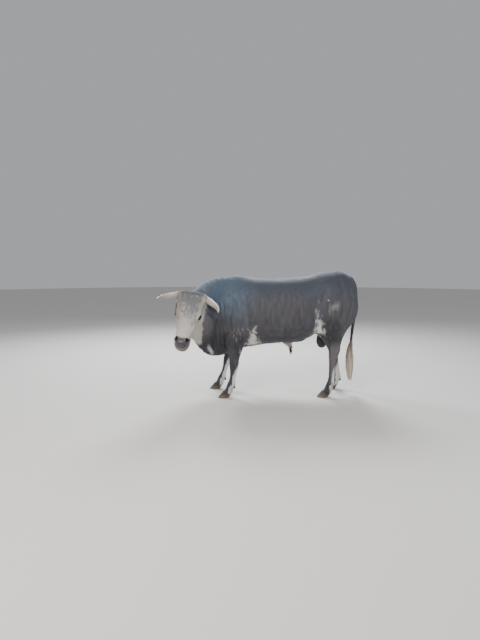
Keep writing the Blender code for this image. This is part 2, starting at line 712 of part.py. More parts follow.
def ear(name, side, direction, where):
    """A cupped leaf of even thickness, its root drawn in to a stalk."""
    turned = HEAD_PLACE.to_3x3()
    axis = (turned @ Vector(direction)).normalized()
    opening = turned @ (Vector(EAR_OPENING) * Vector((1, side, 1)))
    opening = (opening - axis * opening.dot(axis)).normalized()
    across = axis.cross(opening)
    root = on_head(*Vector(EAR_ROOT) * Vector((1, side, 1)))
    rings = []
    for along, half_width, cup, thick in spline(EAR, 2):
        centre = root + axis * along - Vector((0, 0, EAR_DROOP * along * along))
        front, back = [], []
        for i in range(EAR_POINTS):
            share = 2 * i / (EAR_POINTS - 1) - 1
            depth = cup * (share * share - 1)
            lean = math.atan2(2 * cup * share, max(half_width, 0.001))
            normal = opening * math.cos(lean) - across * math.sin(lean)
            spot = centre + across * half_width * share + opening * depth
            rim = thick * (1 - (1 - EAR_RIM) * share * share) / 2
            front.append(spot + normal * rim)
            back.append(spot - normal * rim)
        rings.append(front + back[::-1])
    return loft(name, rings, where)


def eye_centre(side):
    return on_head(EYE.x, side * EYE.y, EYE.z)


def eye_turn(side):
    """Axes of the eye: along its slit, across it, and out of it."""
    turned = HEAD_PLACE.to_3x3()
    mirror = Vector((1, side, 1))
    out = (Vector(EYE_OUT) * mirror).normalized()
    slit = Vector(EYE_SLIT) * mirror
    slit = (slit - out * slit.dot(out)).normalized()
    return turned @ Matrix((slit, out.cross(slit), out)).transposed()


def lids(side, where):
    """The rims of the lids: a ring of flesh that follows the almond of the eye."""
    turn = eye_turn(side)
    points = []
    for i in range(LID_POINTS):
        angle = 2 * math.pi * i / LID_POINTS
        height = LID_HEIGHT * math.sin(angle) * abs(math.sin(angle)) ** LID_FULLNESS
        points.append(eye_centre(side) + turn @ Vector((LID_LENGTH * math.cos(angle), height, LID_OUT)))
    return tube("lids", points, [LID_RADIUS] * LID_POINTS, 8, where, closed=True)


def face_masses(where):
    """The flesh over the bones of the face: orbits, cheeks, nose, lips and chin."""
    turned = HEAD_PLACE.to_3x3()
    for side in (1, -1):
        for name, (along, left, up), radii in FACE:
            yield ball(name, on_head(along, side * left, up), radii, where, turned)
    for name, place, radii in FACE_MIDDLE:
        yield ball(name, on_head(*place), radii, where, turned)


def rims(where):
    """What has to stay crisp on the head: the lids and the wings of the nostrils."""
    for side in (1, -1):
        yield lids(side, where)
        yield nostril_wing(side, where)


def nostril_wing(side, where):
    """The raised rim that curls round the top and the outside of a nostril."""
    points = []
    for i in range(WING_POINTS):
        angle = WING_FROM + WING_SWEEP * i / (WING_POINTS - 1)
        round_it = Vector((math.sin(angle), math.cos(angle), math.sin(angle)))
        along, left, up = Vector(NOSTRIL) + WING_MIDDLE + round_it * Vector(WING_REACH)
        points.append(on_head(along, side * left, up))
    return tube("wing", points, [WING_RADIUS] * WING_POINTS, 8, where)


def finish_head(head, where):
    """Cuts the eye slits, the nostrils and the line of the mouth."""
    turned = HEAD_PLACE.to_3x3()
    for side in (1, -1):
        turn = eye_turn(side)
        slit = ball("slit", eye_centre(side) + turn @ SLIT_OUT, SLIT_RADII, where, turn, 20)
        boolean(head, slit, "DIFFERENCE")
        lean = turned @ Matrix.Rotation(side * NOSTRIL_SLANT, 3, "X") @ Matrix.Rotation(NOSTRIL_RISE, 3, "Y")
        along, left, up = NOSTRIL
        nostril = ball("nostril", on_head(along, side * left, up), NOSTRIL_RADII, where, lean, 16)
        boolean(head, nostril, "DIFFERENCE")
    boolean(head, mouth(where), "DIFFERENCE")
    largest(head)


def mouth(where):
    """The parted lips: a thin lens, open at the front, that leaves the inside of the jaws whole."""
    lean = HEAD_PLACE.to_3x3() @ Matrix.Rotation(MOUTH_LEAN, 3, "Y")
    place, radii = PARTING
    parting = ball("mouth", on_head(*place), radii, where, lean, 32)
    place, radii = JAWS
    jaws = ball("jaws", on_head(*place), radii, where, lean)
    return boolean(parting, jaws, "DIFFERENCE")


def scrotum(where):
    points, sizes = smooth_path(SCROTUM_PATH, SCROTUM_RADII, 2)
    return tube("scrotum", points, sizes, 14, where)


def sheath(where):
    points, sizes = smooth_path(SHEATH_PATH, SHEATH_RADII, 2)
    return tube("sheath", points, sizes, 10, where)


def tail(where):
    points, sizes = smooth_path(TAIL_PATH, TAIL_RADII, 2)
    return tube("tail", points, sizes, 8, where)


def tail_switch(where):
    """A spindle of hair with flat tapering locks over it, fused to one body."""
    points, sizes = smooth_path(SWITCH_PATH, SWITCH_RADII, 2)
    switch = tube("tail_switch", points, sizes, 10, where)
    locks = collection("locks", hidden=True)
    for i in range(LOCKS):
        lock(i, points, sizes, locks)
    union = switch.modifiers.new("locks", "BOOLEAN")
    union.operation = "UNION"
    union.operand_type = "COLLECTION"
    union.collection = locks
    union.solver = "EXACT"
    settle(switch)
    for thing in list(locks.objects):
        bpy.data.objects.remove(thing)
    return largest(switch)


def lock(i, points, sizes, where):
    """One flat lock: it leaves the spindle, stands off it a little, and ends in a point."""
    around = i * GOLDEN_ANGLE
    out = Vector((math.cos(around), math.sin(around), 0))
    side = Vector((-math.sin(around), math.cos(around), 0))
    first = 1 + i * (len(points) - 7) // LOCKS
    rings = []
    for step, (share, width) in enumerate(LOCK_SHAPE):
        place = first + step * LOCK_STRIDE
        index = min(place, len(points) - 1)
        below = max(0, place - len(points) + 1) * LOCK_TAIL
        centre = Vector(points[index]) + out * sizes[index] * share - Vector((0, 0, below))
        sway = side * LOCK_SWAY * math.sin(i * LOCK_TURN + step)
        thick = LOCK_THICKNESS * width
        rings.append(oval(centre + sway, side, out, width, thick, thick, 2, 2, LOCK_SIDES))
    return loft("lock", rings, where)


def main():
    clear_scene()
    masses = collection("masses", hidden=True)
    bull = collection("bull")
    head_lofts = list(head_masses(masses))
    neck_lofts = list(neck_masses(masses))
    leg_lofts = [mass for stance in STANCES for mass in leg_masses(stance, masses)]

    trunk = fuse("trunk", trunk_masses(masses), TRUNK_VOXEL, 16, None, masses)
    body = fuse("body", [trunk, *neck_lofts, *head_lofts, *leg_lofts], BODY_VOXEL, 9, BODY_TRIANGLES, masses)
    face = fuse("face", [*head_lofts, *face_masses(masses)], HEAD_VOXEL, 10, None, masses)
    head = fuse("head", [face, *neck_lofts, *rims(masses)], HEAD_VOXEL, 3, HEAD_TRIANGLES, bull)

    head_room = prism("head_room", HEAD_EDGE, 1, -HEAD_ROOM, HEAD_ROOM, masses, HEAD_PLACE)
    boolean(head, head_room, "INTERSECT")
    largest(head)
    boolean(body, swollen(head_room, GAP, masses), "DIFFERENCE")
    largest(body)

    legs = {}
    coronets = []
    for stance in STANCES:
        cutter = leg_cutter(stance, masses)
        leg = copy_of(body, stance.name, bull)
        boolean(leg, cutter, "INTERSECT")
        boolean(body, swollen(cutter, GAP, masses), "DIFFERENCE")
        toe_x, toe_y = coronet(stance)
        boolean(leg, ground(toe_x, masses), "DIFFERENCE")
        legs[stance.name] = largest(leg)
        for outer, which in ((1, "outer"), (-1, "inner")):
            coronets.append(claw(f"{stance.name}_{which}_claw", stance, outer, bull))
            spur = dewclaw(f"{stance.name}_{which}_dewclaw", stance, outer, bull)
            seat(spur, leg, masses)
            coronets.append(spur)

    neck_room = prism("neck_room", NECK_EDGE, 1, -HALF_BREADTH, HALF_BREADTH, masses)
    neck = copy_of(body, "neck", bull)
    boolean(neck, neck_room, "INTERSECT")
    largest(neck)
    torso = copy_of(body, "torso", bull)
    boolean(torso, swollen(neck_room, GAP, masses), "DIFFERENCE")
    largest(torso)

    finish_head(head, masses)
    horns, ears, eyes = [], [], []
    for side, which in ((1, "left"), (-1, "right")):
        horns.append(horn(f"{which}_horn", side, bull))
        ears.append(ear(f"{which}_ear", side, EAR_DIRECTIONS[side], bull))
        eyes.append(ball(f"{which}_eye", eye_centre(side), (EYE_RADIUS,) * 3, bull, None, 14))
    for grown in (*horns, *ears, *eyes):
        seat(grown, head, masses)
    for grown in ears:
        seat(grown, neck, masses)

    bag, fold, dock, tuft = scrotum(bull), sheath(bull), tail(bull), tail_switch(bull)
    seat(tuft, dock, masses)
    for grown in (bag, fold, dock):
        seat(grown, torso, masses)
    for thigh in (legs["left_hindleg"], legs["right_hindleg"]):
        seat(bag, thigh, masses)
        seat(dock, thigh, masses)

    for thing in (torso, neck, bag, fold, dock, *legs.values(), *ears):
        paint(thing, "coat_dark")
    paint(head, "coat_pale")
    for thing in horns:
        paint(thing, "horn")
    for thing in eyes:
        paint(thing, "eye")
    for thing in coronets:
        paint(thing, "claw")
    paint(tuft, "hair_pale")

    for thing in list(masses.objects):
        bpy.data.objects.remove(thing)
    for thing in bull.objects:
        thing.data.shade_smooth()
        thing.data.set_sharp_from_angle(angle=SHARP)
    return centre_on_floor(bull)


def centre_on_floor(where):
    """Hangs the whole from an empty, so that it stands on Z = 0 with the origin under its middle."""
    corners = [vertex.co for thing in where.objects for vertex in thing.data.vertices]
    low = Vector(min(corner[i] for corner in corners) for i in range(3))
    high = Vector(max(corner[i] for corner in corners) for i in range(3))
    shift = Vector((-(low.x + high.x) / 2, -(low.y + high.y) / 2, -low.z))
    stand = put("stand", None, where)
    stand.location = shift
    for thing in where.objects:
        if thing is not stand:
            thing.parent = stand
    return shift


SHIFT = main()
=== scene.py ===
# %% [markdown]
# # A standing bull at life size
# A double-muscled bull stands and turns its lowered head to the left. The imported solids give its
# outline and sizes. This lesson dresses them: one skin with folds and lids, a short coat in tufts,
# horn, hooves, wet eyes, and the long hair of the tail.

# %% Load the frame
import json
import math

import bmesh
import bpy
import numpy as np
from mathutils import Matrix, Vector
from mathutils.bvhtree import BVHTree

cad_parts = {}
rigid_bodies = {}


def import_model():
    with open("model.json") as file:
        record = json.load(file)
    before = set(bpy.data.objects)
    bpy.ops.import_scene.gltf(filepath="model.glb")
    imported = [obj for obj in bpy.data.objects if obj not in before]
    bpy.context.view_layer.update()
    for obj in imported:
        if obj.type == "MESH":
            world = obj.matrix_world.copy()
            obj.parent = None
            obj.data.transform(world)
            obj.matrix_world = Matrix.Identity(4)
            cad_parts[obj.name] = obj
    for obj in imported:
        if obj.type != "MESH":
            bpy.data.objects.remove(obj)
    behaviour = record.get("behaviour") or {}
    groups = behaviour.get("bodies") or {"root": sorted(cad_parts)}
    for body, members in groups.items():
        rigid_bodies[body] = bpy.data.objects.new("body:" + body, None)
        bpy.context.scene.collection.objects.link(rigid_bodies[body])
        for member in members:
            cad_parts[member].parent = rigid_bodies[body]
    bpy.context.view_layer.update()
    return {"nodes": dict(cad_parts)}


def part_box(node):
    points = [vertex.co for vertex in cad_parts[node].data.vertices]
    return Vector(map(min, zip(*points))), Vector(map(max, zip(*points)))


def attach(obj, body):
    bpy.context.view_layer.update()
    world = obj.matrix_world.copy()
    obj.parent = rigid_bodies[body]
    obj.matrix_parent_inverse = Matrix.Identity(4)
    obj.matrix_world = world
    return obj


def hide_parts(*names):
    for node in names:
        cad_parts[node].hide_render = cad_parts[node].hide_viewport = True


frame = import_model()

# %% [markdown]
# ## Where things are
# Two frames make the work easy. One stands under the withers, with x towards the tail. The other
# sits in the skull: along runs from the poll to the muzzle, left and up are the animal's own. Both
# are worked out from where the eyes of the solids are, so they follow if the solids move.

# %% Frames of the body and the head
HEAD_HEADING = math.radians(20)
HEAD_PITCH = math.radians(57)
HEAD_ROLL = math.radians(19)
POLL = Vector((-0.495, -0.589, 1.251))
EYE = Vector((0.258, 0.112, -0.060))


def head_turn():
    """The head's axes (along, left, up) as the columns of a matrix."""
    ahead = Vector((-math.sin(HEAD_HEADING), -math.cos(HEAD_HEADING), 0))
    along = ahead * math.cos(HEAD_PITCH) - Vector((0, 0, math.sin(HEAD_PITCH)))
    level = Vector((0, 0, 1)).cross(ahead)
    up = along.cross(level)
    left = level * math.cos(HEAD_ROLL) - up * math.sin(HEAD_ROLL)
    up = level * math.sin(HEAD_ROLL) + up * math.cos(HEAD_ROLL)
    return Matrix((along, left, up)).transposed()


def middle_of(node):
    low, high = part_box(node)
    return (low + high) / 2


HEAD_TURN = head_turn()
between_eyes = (middle_of("left_eye") + middle_of("right_eye")) / 2
HEAD_ORIGIN = between_eyes - HEAD_TURN @ Vector((EYE.x, 0, EYE.z))
WITHERS = HEAD_ORIGIN - POLL
print("withers stand over", WITHERS)


def on_head(along, left, up):
    return HEAD_ORIGIN + HEAD_TURN @ Vector((along, left, up))


def body_places(points):
    """Points as x towards the tail, y to the right, z up, from the floor under the withers."""
    return points - np.array(WITHERS)


def head_places(points):
    """Points as along, left, up from the poll."""
    return (points - np.array(HEAD_ORIGIN)) @ np.array(HEAD_TURN)


def from_head(spots):
    """Head places as points again."""
    return spots @ np.array(HEAD_TURN).T + np.array(HEAD_ORIGIN)


# %% [markdown]
# ## Camera, floor and light
# The camera stands as in the photograph: 5.7 m out, at eye height, tilted a little down.
# The floor is one wide pale sheet, and four soft lamps give the form its shading.

# %% Camera
CAMERA_AWAY = 5.70
CAMERA_HEIGHT = 1.52
CAMERA_TILT = math.radians(6.4)
PHOTO_TALL = 640
FOCAL_PIXELS = 483
SENSOR = 36

lens = bpy.data.cameras.new("camera")
lens.sensor_fit = "VERTICAL"
lens.sensor_height = SENSOR
lens.lens = FOCAL_PIXELS / PHOTO_TALL * SENSOR
camera = bpy.data.objects.new("camera", lens)
bpy.context.scene.collection.objects.link(camera)
camera.location = WITHERS + Vector((0, -CAMERA_AWAY, CAMERA_HEIGHT))
camera.rotation_euler = (math.pi / 2 - CAMERA_TILT, 0, 0)
bpy.context.scene.camera = camera

# %% Helpers for meshes and materials


def put(name, mesh):
    piece = bpy.data.objects.new(name, mesh)
    bpy.context.scene.collection.objects.link(piece)
    return piece


def from_bmesh(name, shape):
    mesh = bpy.data.meshes.new(name)
    shape.to_mesh(mesh)
    shape.free()
    return put(name, mesh)


def applied(piece):
    """Settles the modifiers into the mesh."""
    bpy.context.view_layer.update()
    graph = bpy.context.evaluated_depsgraph_get()
    mesh = bpy.data.meshes.new_from_object(piece.evaluated_get(graph))
    piece.modifiers.clear()
    piece.data = mesh
    return piece


def linear(red, green, blue):
    """An sRGB colour from 0 to 255 as the linear values that shaders take."""
    def one(level):
        share = level / 255
        return share / 12.92 if share < 0.04045 else ((share + 0.055) / 1.055) ** 2.4
    return (one(red), one(green), one(blue), 1.0)


def new_material(name):
    material = bpy.data.materials.new(name)
    material.use_nodes = True
    return material, material.node_tree.nodes, material.node_tree.links


# %% Floor and light
FLOOR_REACH = 30
floor_shape = bmesh.new()
bmesh.ops.create_circle(floor_shape, cap_ends=True, segments=96, radius=FLOOR_REACH)
floor = from_bmesh("floor", floor_shape)

floor_paint, nodes, links = new_material("pale_floor")
nodes["Principled BSDF"].inputs["Base Color"].default_value = linear(214, 211, 206)
nodes["Principled BSDF"].inputs["Roughness"].default_value = 0.85
floor.data.materials.append(floor_paint)

world = bpy.data.worlds.new("studio")
world.use_nodes = True
world.node_tree.nodes["Background"].inputs["Color"].default_value = linear(222, 225, 230)
world.node_tree.nodes["Background"].inputs["Strength"].default_value = 0.55
bpy.context.scene.world = world


def soft_lamp(name, place, aim, size, power, colour):
    lamp = bpy.data.lights.new(name, "AREA")
    lamp.shape = "DISK"
    lamp.size = size
    lamp.energy = power
    lamp.color = colour[:3]
    thing = bpy.data.objects.new(name, lamp)
    bpy.context.scene.collection.objects.link(thing)
    thing.location = place
    thing.rotation_mode = "QUATERNION"
    thing.rotation_quaternion = (Vector(aim) - Vector(place)).to_track_quat("-Z", "Y")


CHEST_HEIGHT = 0.9
soft_lamp("key", (-2.6, -5.0, 4.2), (0, 0, CHEST_HEIGHT), 2.6, 320, linear(255, 251, 246))
soft_lamp("fill", (4.5, -3.5, 2.6), (0, 0, CHEST_HEIGHT), 3.0, 120, linear(246, 249, 255))
soft_lamp("behind_back", (0.4, 4.4, 4.8), (0, 0, CHEST_HEIGHT), 2.2, 430, linear(242, 245, 250))
soft_lamp("behind_neck", (-3.0, 4.0, 4.2), (-0.6, -0.3, CHEST_HEIGHT), 1.6, 240, linear(242, 245, 250))

# %% [markdown]
# ## The skin
# A real bull has no seams, while the solids are parted into head, neck, torso and legs. A voxel
# remesh of their joined copies flows over the cuts. The head and the feet need a finer net than the
# trunk, so three nets are made, cut on planes where they overlap, and bridged there.

# %% Remesh the flesh
LEGS = ["left_foreleg", "right_foreleg", "left_hindleg", "right_hindleg"]
CLAWS = {leg: [f"{leg}_{which}_claw" for which in ("outer", "inner")] for leg in LEGS}
DEWCLAWS = {leg: [f"{leg}_{which}_dewclaw" for which in ("outer", "inner")] for leg in LEGS}
FLESH = ["torso", "neck", "head", *LEGS, "tail", "scrotum", "sheath"]
BODY_GRAIN = 0.014
LEG_GRAIN = 0.0068
HEAD_GRAIN = 0.0059
MERGE = 0.00001
NECK_CUT_AT = Vector((-0.44, -0.33, 1.0))
NECK_CUT_HEADING = math.radians(60)
LEG_CUT = 0.425
STUB_SIZE = 0.72
STUB_ROOT = 0.30
CUT_BAND = 0.005


def flesh_net(name, node_names, grain, smoothing, stubs=()):
    """One smooth net round copies of several solids, and of some shrunk to stubs at their roots."""
    shape = bmesh.new()
    for node in node_names:
        shape.from_mesh(frame["nodes"][node].data)
    for node in stubs:
        low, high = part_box(node)
        root = Vector((low.x, (low.y + high.y) / 2, high.z - (high.z - low.z) * STUB_ROOT))
        first = len(shape.verts)
        shape.from_mesh(frame["nodes"][node].data)
        shape.verts.ensure_lookup_table()
        for vertex in shape.verts[first:]:
            vertex.co = root + (vertex.co - root) * STUB_SIZE
    bmesh.ops.remove_doubles(shape, verts=shape.verts, dist=MERGE)
    net = from_bmesh(name, shape)
    remesh = net.modifiers.new("grain", "REMESH")
    remesh.mode = "VOXEL"
    remesh.voxel_size = grain
    soften = net.modifiers.new("soften", "SMOOTH")
    soften.factor = 0.5
    soften.iterations = smoothing
    return applied(net)


def cut_away(shape, spot, outward, near=None):
    """Cuts a net with a plane, and deletes what lies on the outward side of it.

    Edges and corners are kept as dict keys: those have a fixed order, which a set has not.
    """
    faces = [face for face in shape.faces if near is None or near(face.calc_center_median())]
    edges = dict.fromkeys(edge for face in faces for edge in face.edges)
    corners = dict.fromkeys(vertex for face in faces for vertex in face.verts)
    bmesh.ops.bisect_plane(shape, geom=[*corners, *edges, *faces], dist=MERGE, plane_co=spot,
                           plane_no=outward, clear_outer=True)


def taken_from(net):
    """The net of an object as a bmesh; the object goes."""
    shape = bmesh.new()
    shape.from_mesh(net.data)
    bpy.data.objects.remove(net)
    return shape


to_head = Vector((-math.cos(NECK_CUT_HEADING), -math.sin(NECK_CUT_HEADING), 0))
downward = Vector((0, 0, -1))
neck_spot = WITHERS + NECK_CUT_AT

trunk_shape = taken_from(flesh_net("body_net", FLESH, BODY_GRAIN, 3))
cut_away(trunk_shape, neck_spot - to_head * CUT_BAND, to_head)
cut_away(trunk_shape, Vector((0, 0, LEG_CUT + CUT_BAND)), downward)

head_shape = taken_from(flesh_net("head_net", ["head", "neck", "left_eye", "right_eye"], HEAD_GRAIN, 4))
cut_away(head_shape, neck_spot + to_head * CUT_BAND, -to_head)

# %% [markdown]
# ## The feet
# The skin ends at the coronet, where the hoof begins. The claws are in the net of the legs at first, so
# its wall runs on evenly. Then each foot is cut a little below the coronet, inside the hoof, and capped.

# %% Cut the feet at the coronet
CORONET = 0.060
CORONET_TILT = 0.16
CORONET_HEEL = 0.049
UNDER_CORONET = 0.005
ANKLE = 0.15

all_claws = [node for leg in LEGS for node in CLAWS[leg]]
all_dewclaws = [node for leg in LEGS for node in DEWCLAWS[leg]]
leg_shape = taken_from(flesh_net("leg_net", [*LEGS, *all_claws], LEG_GRAIN, 4, all_dewclaws))
cut_away(leg_shape, Vector((0, 0, LEG_CUT - CUT_BAND)), -downward)
feet = {}
for leg in LEGS:
    low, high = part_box(CLAWS[leg][0])
    middle = (low + high) / 2
    top_middle = Vector((high.x - CORONET_HEEL, 0, CORONET - UNDER_CORONET))
    feet[leg] = (middle, top_middle.x)

    def in_foot(point, middle=middle):
        return point.z < ANKLE and (point.xy - middle.xy).length < 0.2

    cut_away(leg_shape, top_middle, Vector((-CORONET_TILT, 0, -1)).normalized(), in_foot)
open_ends = [edge for edge in leg_shape.edges if edge.is_boundary and edge.verts[0].co.z < ANKLE]
bmesh.ops.holes_fill(leg_shape, edges=open_ends, sides=0)


def over_coronet(points):
    """How high each point is over the slanted plane where the hair of its foot ends."""
    height = np.full(len(points), 1.0)
    for middle, top_x in feet.values():
        close = np.hypot(points[:, 0] - middle.x, points[:, 1] - middle.y) < 0.2
        over = points[:, 2] - CORONET + CORONET_TILT * (points[:, 0] - top_x)
        height = np.where(close, over, height)
    return height


# %% Join the three nets
skin_shape = bmesh.new()
for shape in (trunk_shape, head_shape, leg_shape):
    part_mesh = bpy.data.meshes.new("part_of_skin")
    shape.to_mesh(part_mesh)
    shape.free()
    skin_shape.from_mesh(part_mesh)
    bpy.data.meshes.remove(part_mesh)


def rim_group(edge):
    """Which cut an open edge lies on: the neck, or one of the legs."""
    spot = edge.verts[0].co
    if spot.z > LEG_CUT + 0.05:
        return "neck"
    return (spot.x > 0, spot.y > WITHERS.y)


rims = {}
for edge in skin_shape.edges:
    if edge.is_boundary:
        rims.setdefault(rim_group(edge), []).append(edge)
for edges in rims.values():
    bmesh.ops.bridge_loops(skin_shape, edges=edges)


def drop_scraps(shape):
    """Keeps the largest island of a net, and deletes the rest."""
    islands, seen = [], set()
    for seed in shape.verts:
        if seed in seen:
            continue
        seen.add(seed)
        island = [seed]
        for here in island:
            for edge in here.link_edges:
                there = edge.other_vert(here)
                if there not in seen:
                    seen.add(there)
                    island.append(there)
        islands.append(island)
    islands.sort(key=len)
    scraps = [vertex for island in islands[:-1] for vertex in island]
    bmesh.ops.delete(shape, geom=scraps, context="VERTS")
    return len(scraps)


dropped = drop_scraps(skin_shape)
open_edges = sum(edge.is_boundary for edge in skin_shape.edges)
print("skin:", len(skin_shape.verts), "points and", dropped, "loose ones dropped")
print("cuts bridged:", len(rims), "open edges:", open_edges)

# %% [markdown]
# ## Finer net where the face needs it
# Lids, nostrils and lips are a few millimetres thick. Only the faces near them are subdivided, so
# the rest of the net stays light.

# %% Subdivide round the eyes, nostrils and lips
NOSTRIL = Vector((0.532, 0.055, -0.062))
MOUTH_MIDDLE = Vector((0.560, 0, -0.152))
MOUTH_SLOPE = math.tan(math.radians(8))
MOUTH_FROM = 0.462


def head_spot(point):
    """A point as along, left, up from the poll."""
    return HEAD_TURN.transposed() @ (point - HEAD_ORIGIN)


def mouth_offset(place):
    """How far a place on the head is above the plane in which the lips meet."""
    return place.z - MOUTH_MIDDLE.z + MOUTH_SLOPE * (place.x - MOUTH_MIDDLE.x)


def over_mouth(along, up):
    """The same for many places at once."""
    return up - MOUTH_MIDDLE.z + MOUTH_SLOPE * (along - MOUTH_MIDDLE.x)


def eye_centre(side):
    """The middle of one eye in head places; side is 1 for the left and -1 for the right."""
    return np.array((EYE.x, side * EYE.y, EYE.z))


def mirrored(place):
    return Vector((place.x, abs(place.y), place.z))


def near_feature(place, eye_reach, nostril_reach, lip_reach):
    folded = mirrored(place)
    near_lips = place.x > MOUTH_FROM and abs(mouth_offset(place)) < lip_reach
    return ((folded - EYE).length < eye_reach or (folded - NOSTRIL).length < nostril_reach or near_lips)


for eye_reach, nostril_reach, lip_reach in ((0.055, 0.034, 0.010), (0.042, 0.026, 0.0)):
    fine = {}
    for face in skin_shape.faces:
        place = head_spot(face.calc_center_median())
        if place.x > 0 and near_feature(place, eye_reach, nostril_reach, lip_reach):
            fine.update(dict.fromkeys(face.edges))
    bmesh.ops.subdivide_edges(skin_shape, edges=list(fine), cuts=1, use_grid_fill=True)
bmesh.ops.triangulate(skin_shape, faces=[face for face in skin_shape.faces if len(face.verts) > 4])
print("skin after refining:", len(skin_shape.verts), "points")

# %% [markdown]
# ## Noise that repeats
# Every variation comes from one kind of value noise, worked out from the place itself, so the
# script gives the same bull each time.

# %% Value noise in numpy


def wander(points, size, seed):
    """Smooth noise from -1 to 1 that changes over about this size."""
    scaled = np.asarray(points, float) / size + 1000.0
    cell = np.floor(scaled).astype(np.int64)
    share = scaled - cell
    share = share * share * (3 - 2 * share)
    total = np.zeros(len(scaled))
    for i in (0, 1):
        for j in (0, 1):
            for k in (0, 1):
                hashed = (cell[:, 0] + i) * 73856093 ^ (cell[:, 1] + j) * 19349663
                hashed = hashed ^ (cell[:, 2] + k) * 83492791 ^ seed * 2654435761
                hashed = (hashed ^ (hashed >> 13)) * 1274126177 & 0x7FFFFFFF
                level = ((hashed ^ (hashed >> 16)) & 0xFFFF) / 32767.5 - 1
                weight = np.abs(1 - i - share[:, 0]) * np.abs(1 - j - share[:, 1])
                total += level * weight * np.abs(1 - k - share[:, 2])
    return total


def upright_streaks(places):
    """Noise in narrow upright streaks, the same for every colour that uses them."""
    return wander(places * np.array((1, 1, 0.22)), 0.020, 25)


def smooth(low, high, values):
    """0 below low, 1 above high, and a soft step between."""
    share = np.clip((values - low) / (high - low), 0, 1)
    return share * share * (3 - 2 * share)


def hill(distance, width):
    return np.exp(-((distance / width) ** 2))


def line_distance(across, up, path):
    """Distance in a plane from each point to a path of straight stretches."""
    best = np.full(len(across), 1e9)
    for (x0, z0), (x1, z1) in zip(path, path[1:]):
        run, rise = x1 - x0, z1 - z0
        share = ((across - x0) * run + (up - z0) * rise) / (run * run + rise * rise)
        share = np.clip(share, 0, 1)
        best = np.minimum(best, np.hypot(across - x0 - share * run, up - z0 - share * rise))
    return best


# %% [markdown]
# ## Sculpting in code
# Each muscle line or fold is a groove: a path seen from the side, a depth and a width. Every point
# of the net moves along its normal by the sum of them. The thighs of this breed part into bulging
# heads, so their lines are deep, and the skin of the bent neck lies in folds on its inner side.

# %% Muscle lines and folds
COAT_DEPTH = 0.0015
UNDER_HOOF = 0.0030
MUSCLE_LINES = [
    ("behind_shoulder", [(0.13, 1.26), (0.165, 1.05), (0.15, 0.86)], 0.010, 0.040),
    ("behind_elbow", [(0.150, 0.86), (0.135, 0.74), (0.165, 0.62)], 0.011, 0.026),
    ("shoulder_to_arm", [(-0.23, 1.12), (-0.10, 1.03), (0.02, 0.96), (0.13, 0.93)], 0.007, 0.032),
    ("arm_front", [(-0.13, 0.92), (-0.115, 0.78), (-0.15, 0.64)], 0.008, 0.022),
    ("loin", [(0.30, 1.28), (0.60, 1.285), (0.84, 1.31)], 0.006, 0.040),
    ("flank_hollow", [(0.80, 1.20), (0.87, 1.12)], 0.014, 0.075),
    ("thigh_front", [(0.97, 1.25), (0.915, 1.08), (0.885, 0.93), (0.90, 0.80)], 0.012, 0.030),
    ("thigh_heads", [(1.13, 1.36), (1.165, 1.20), (1.165, 1.02), (1.12, 0.86), (1.10, 0.78)], 0.014, 0.026),
    ("thigh_back", [(1.24, 1.27), (1.262, 1.12), (1.235, 0.96), (1.185, 0.84)], 0.010, 0.020),
    ("gaskin", [(1.105, 0.80), (1.118, 0.71), (1.122, 0.62), (1.112, 0.56)], 0.009, 0.014),
    ("flank_fold", [(0.83, 0.93), (0.875, 0.85), (0.90, 0.76)], 0.010, 0.018),
    ("belly_side", [(0.22, 0.72), (0.45, 0.735), (0.70, 0.77)], 0.004, 0.040),
]
RIB_PITCH = 0.062
RIB_DEPTH = 0.0009
FOLD_PITCH = 0.046
FOLD_DEPTH = 0.0065


def body_relief(places, normals):
    """How far out each point of the trunk and legs moves."""
    x, y, z = places.T
    facing = smooth(0.25, 0.75, np.abs(normals[:, 1]))
    out = np.zeros(len(places))
    for name, path, depth, width in MUSCLE_LINES:
        shift = 0.155 * smooth(0.95, 0.55, z) * (y > 0) if name == "gaskin" else 0
        wobble = 0.006 * wander(places, 0.09, 3)
        out -= depth * facing * hill(line_distance(x - shift, z + wobble, path), width)
    barrel = smooth(0.20, 0.30, x) * smooth(0.82, 0.70, x) * smooth(0.70, 0.82, z) * smooth(1.30, 1.15, z)
    slant = x + 0.12 * (z - 1.0)
    out += RIB_DEPTH * barrel * facing * np.sin(slant / RIB_PITCH * 2 * math.pi)
    inner = smooth(-0.06, -0.13, y) * smooth(-0.10, -0.18, x) * smooth(-0.50, -0.40, x)
    band = inner * smooth(1.20, 1.02, z) * smooth(0.50, 0.60, z)
    lean = x + 0.10 * z + 0.012 * wander(places, 0.12, 5)
    out += FOLD_DEPTH * band * np.sin(lean / FOLD_PITCH * 2 * math.pi)
    neck_top = smooth(-0.05, -0.15, x) * smooth(1.15, 1.28, z)
    out += 0.0012 * neck_top * np.sin((x + 0.4 * y + 0.02 * wander(places, 0.1, 19)) / 0.085 * 2 * math.pi)
    out += 0.0022 * wander(places, 0.16, 7) + 0.0012 * wander(places, 0.06, 9)
    return out


# %% [markdown]
# ## The face
# A cow's eye lies in an almond of two lids. In the eye's own axes, points inside the almond sink
# behind the eyeball, points round it rise to a thick rim over the ball, and a crease runs above.
# The same trick with other sizes makes the comma of a nostril and the line of the lips.

# %% Lids, nostrils and lips
EYE_RADIUS = 0.0235
SLIT_LENGTH = 0.0265
SLIT_HEIGHT = 0.0157
LID_THICK = 0.0035
LID_WIDTH = 0.0085
NOSTRIL_COMMA = [(0.528, 0.070), (0.512, 0.081), (0.498, 0.082)]


def eye_axes(side):
    """Columns: along the slit, across it, and out of the eye, in head places."""
    out = Vector((0.30, side * 0.86, 0.41)).normalized()
    slit = Vector((0.91, side * -0.40, 0.09))
    slit = (slit - out * slit.dot(out)).normalized()
    return np.array(Matrix((slit, out.cross(slit), out)).transposed())


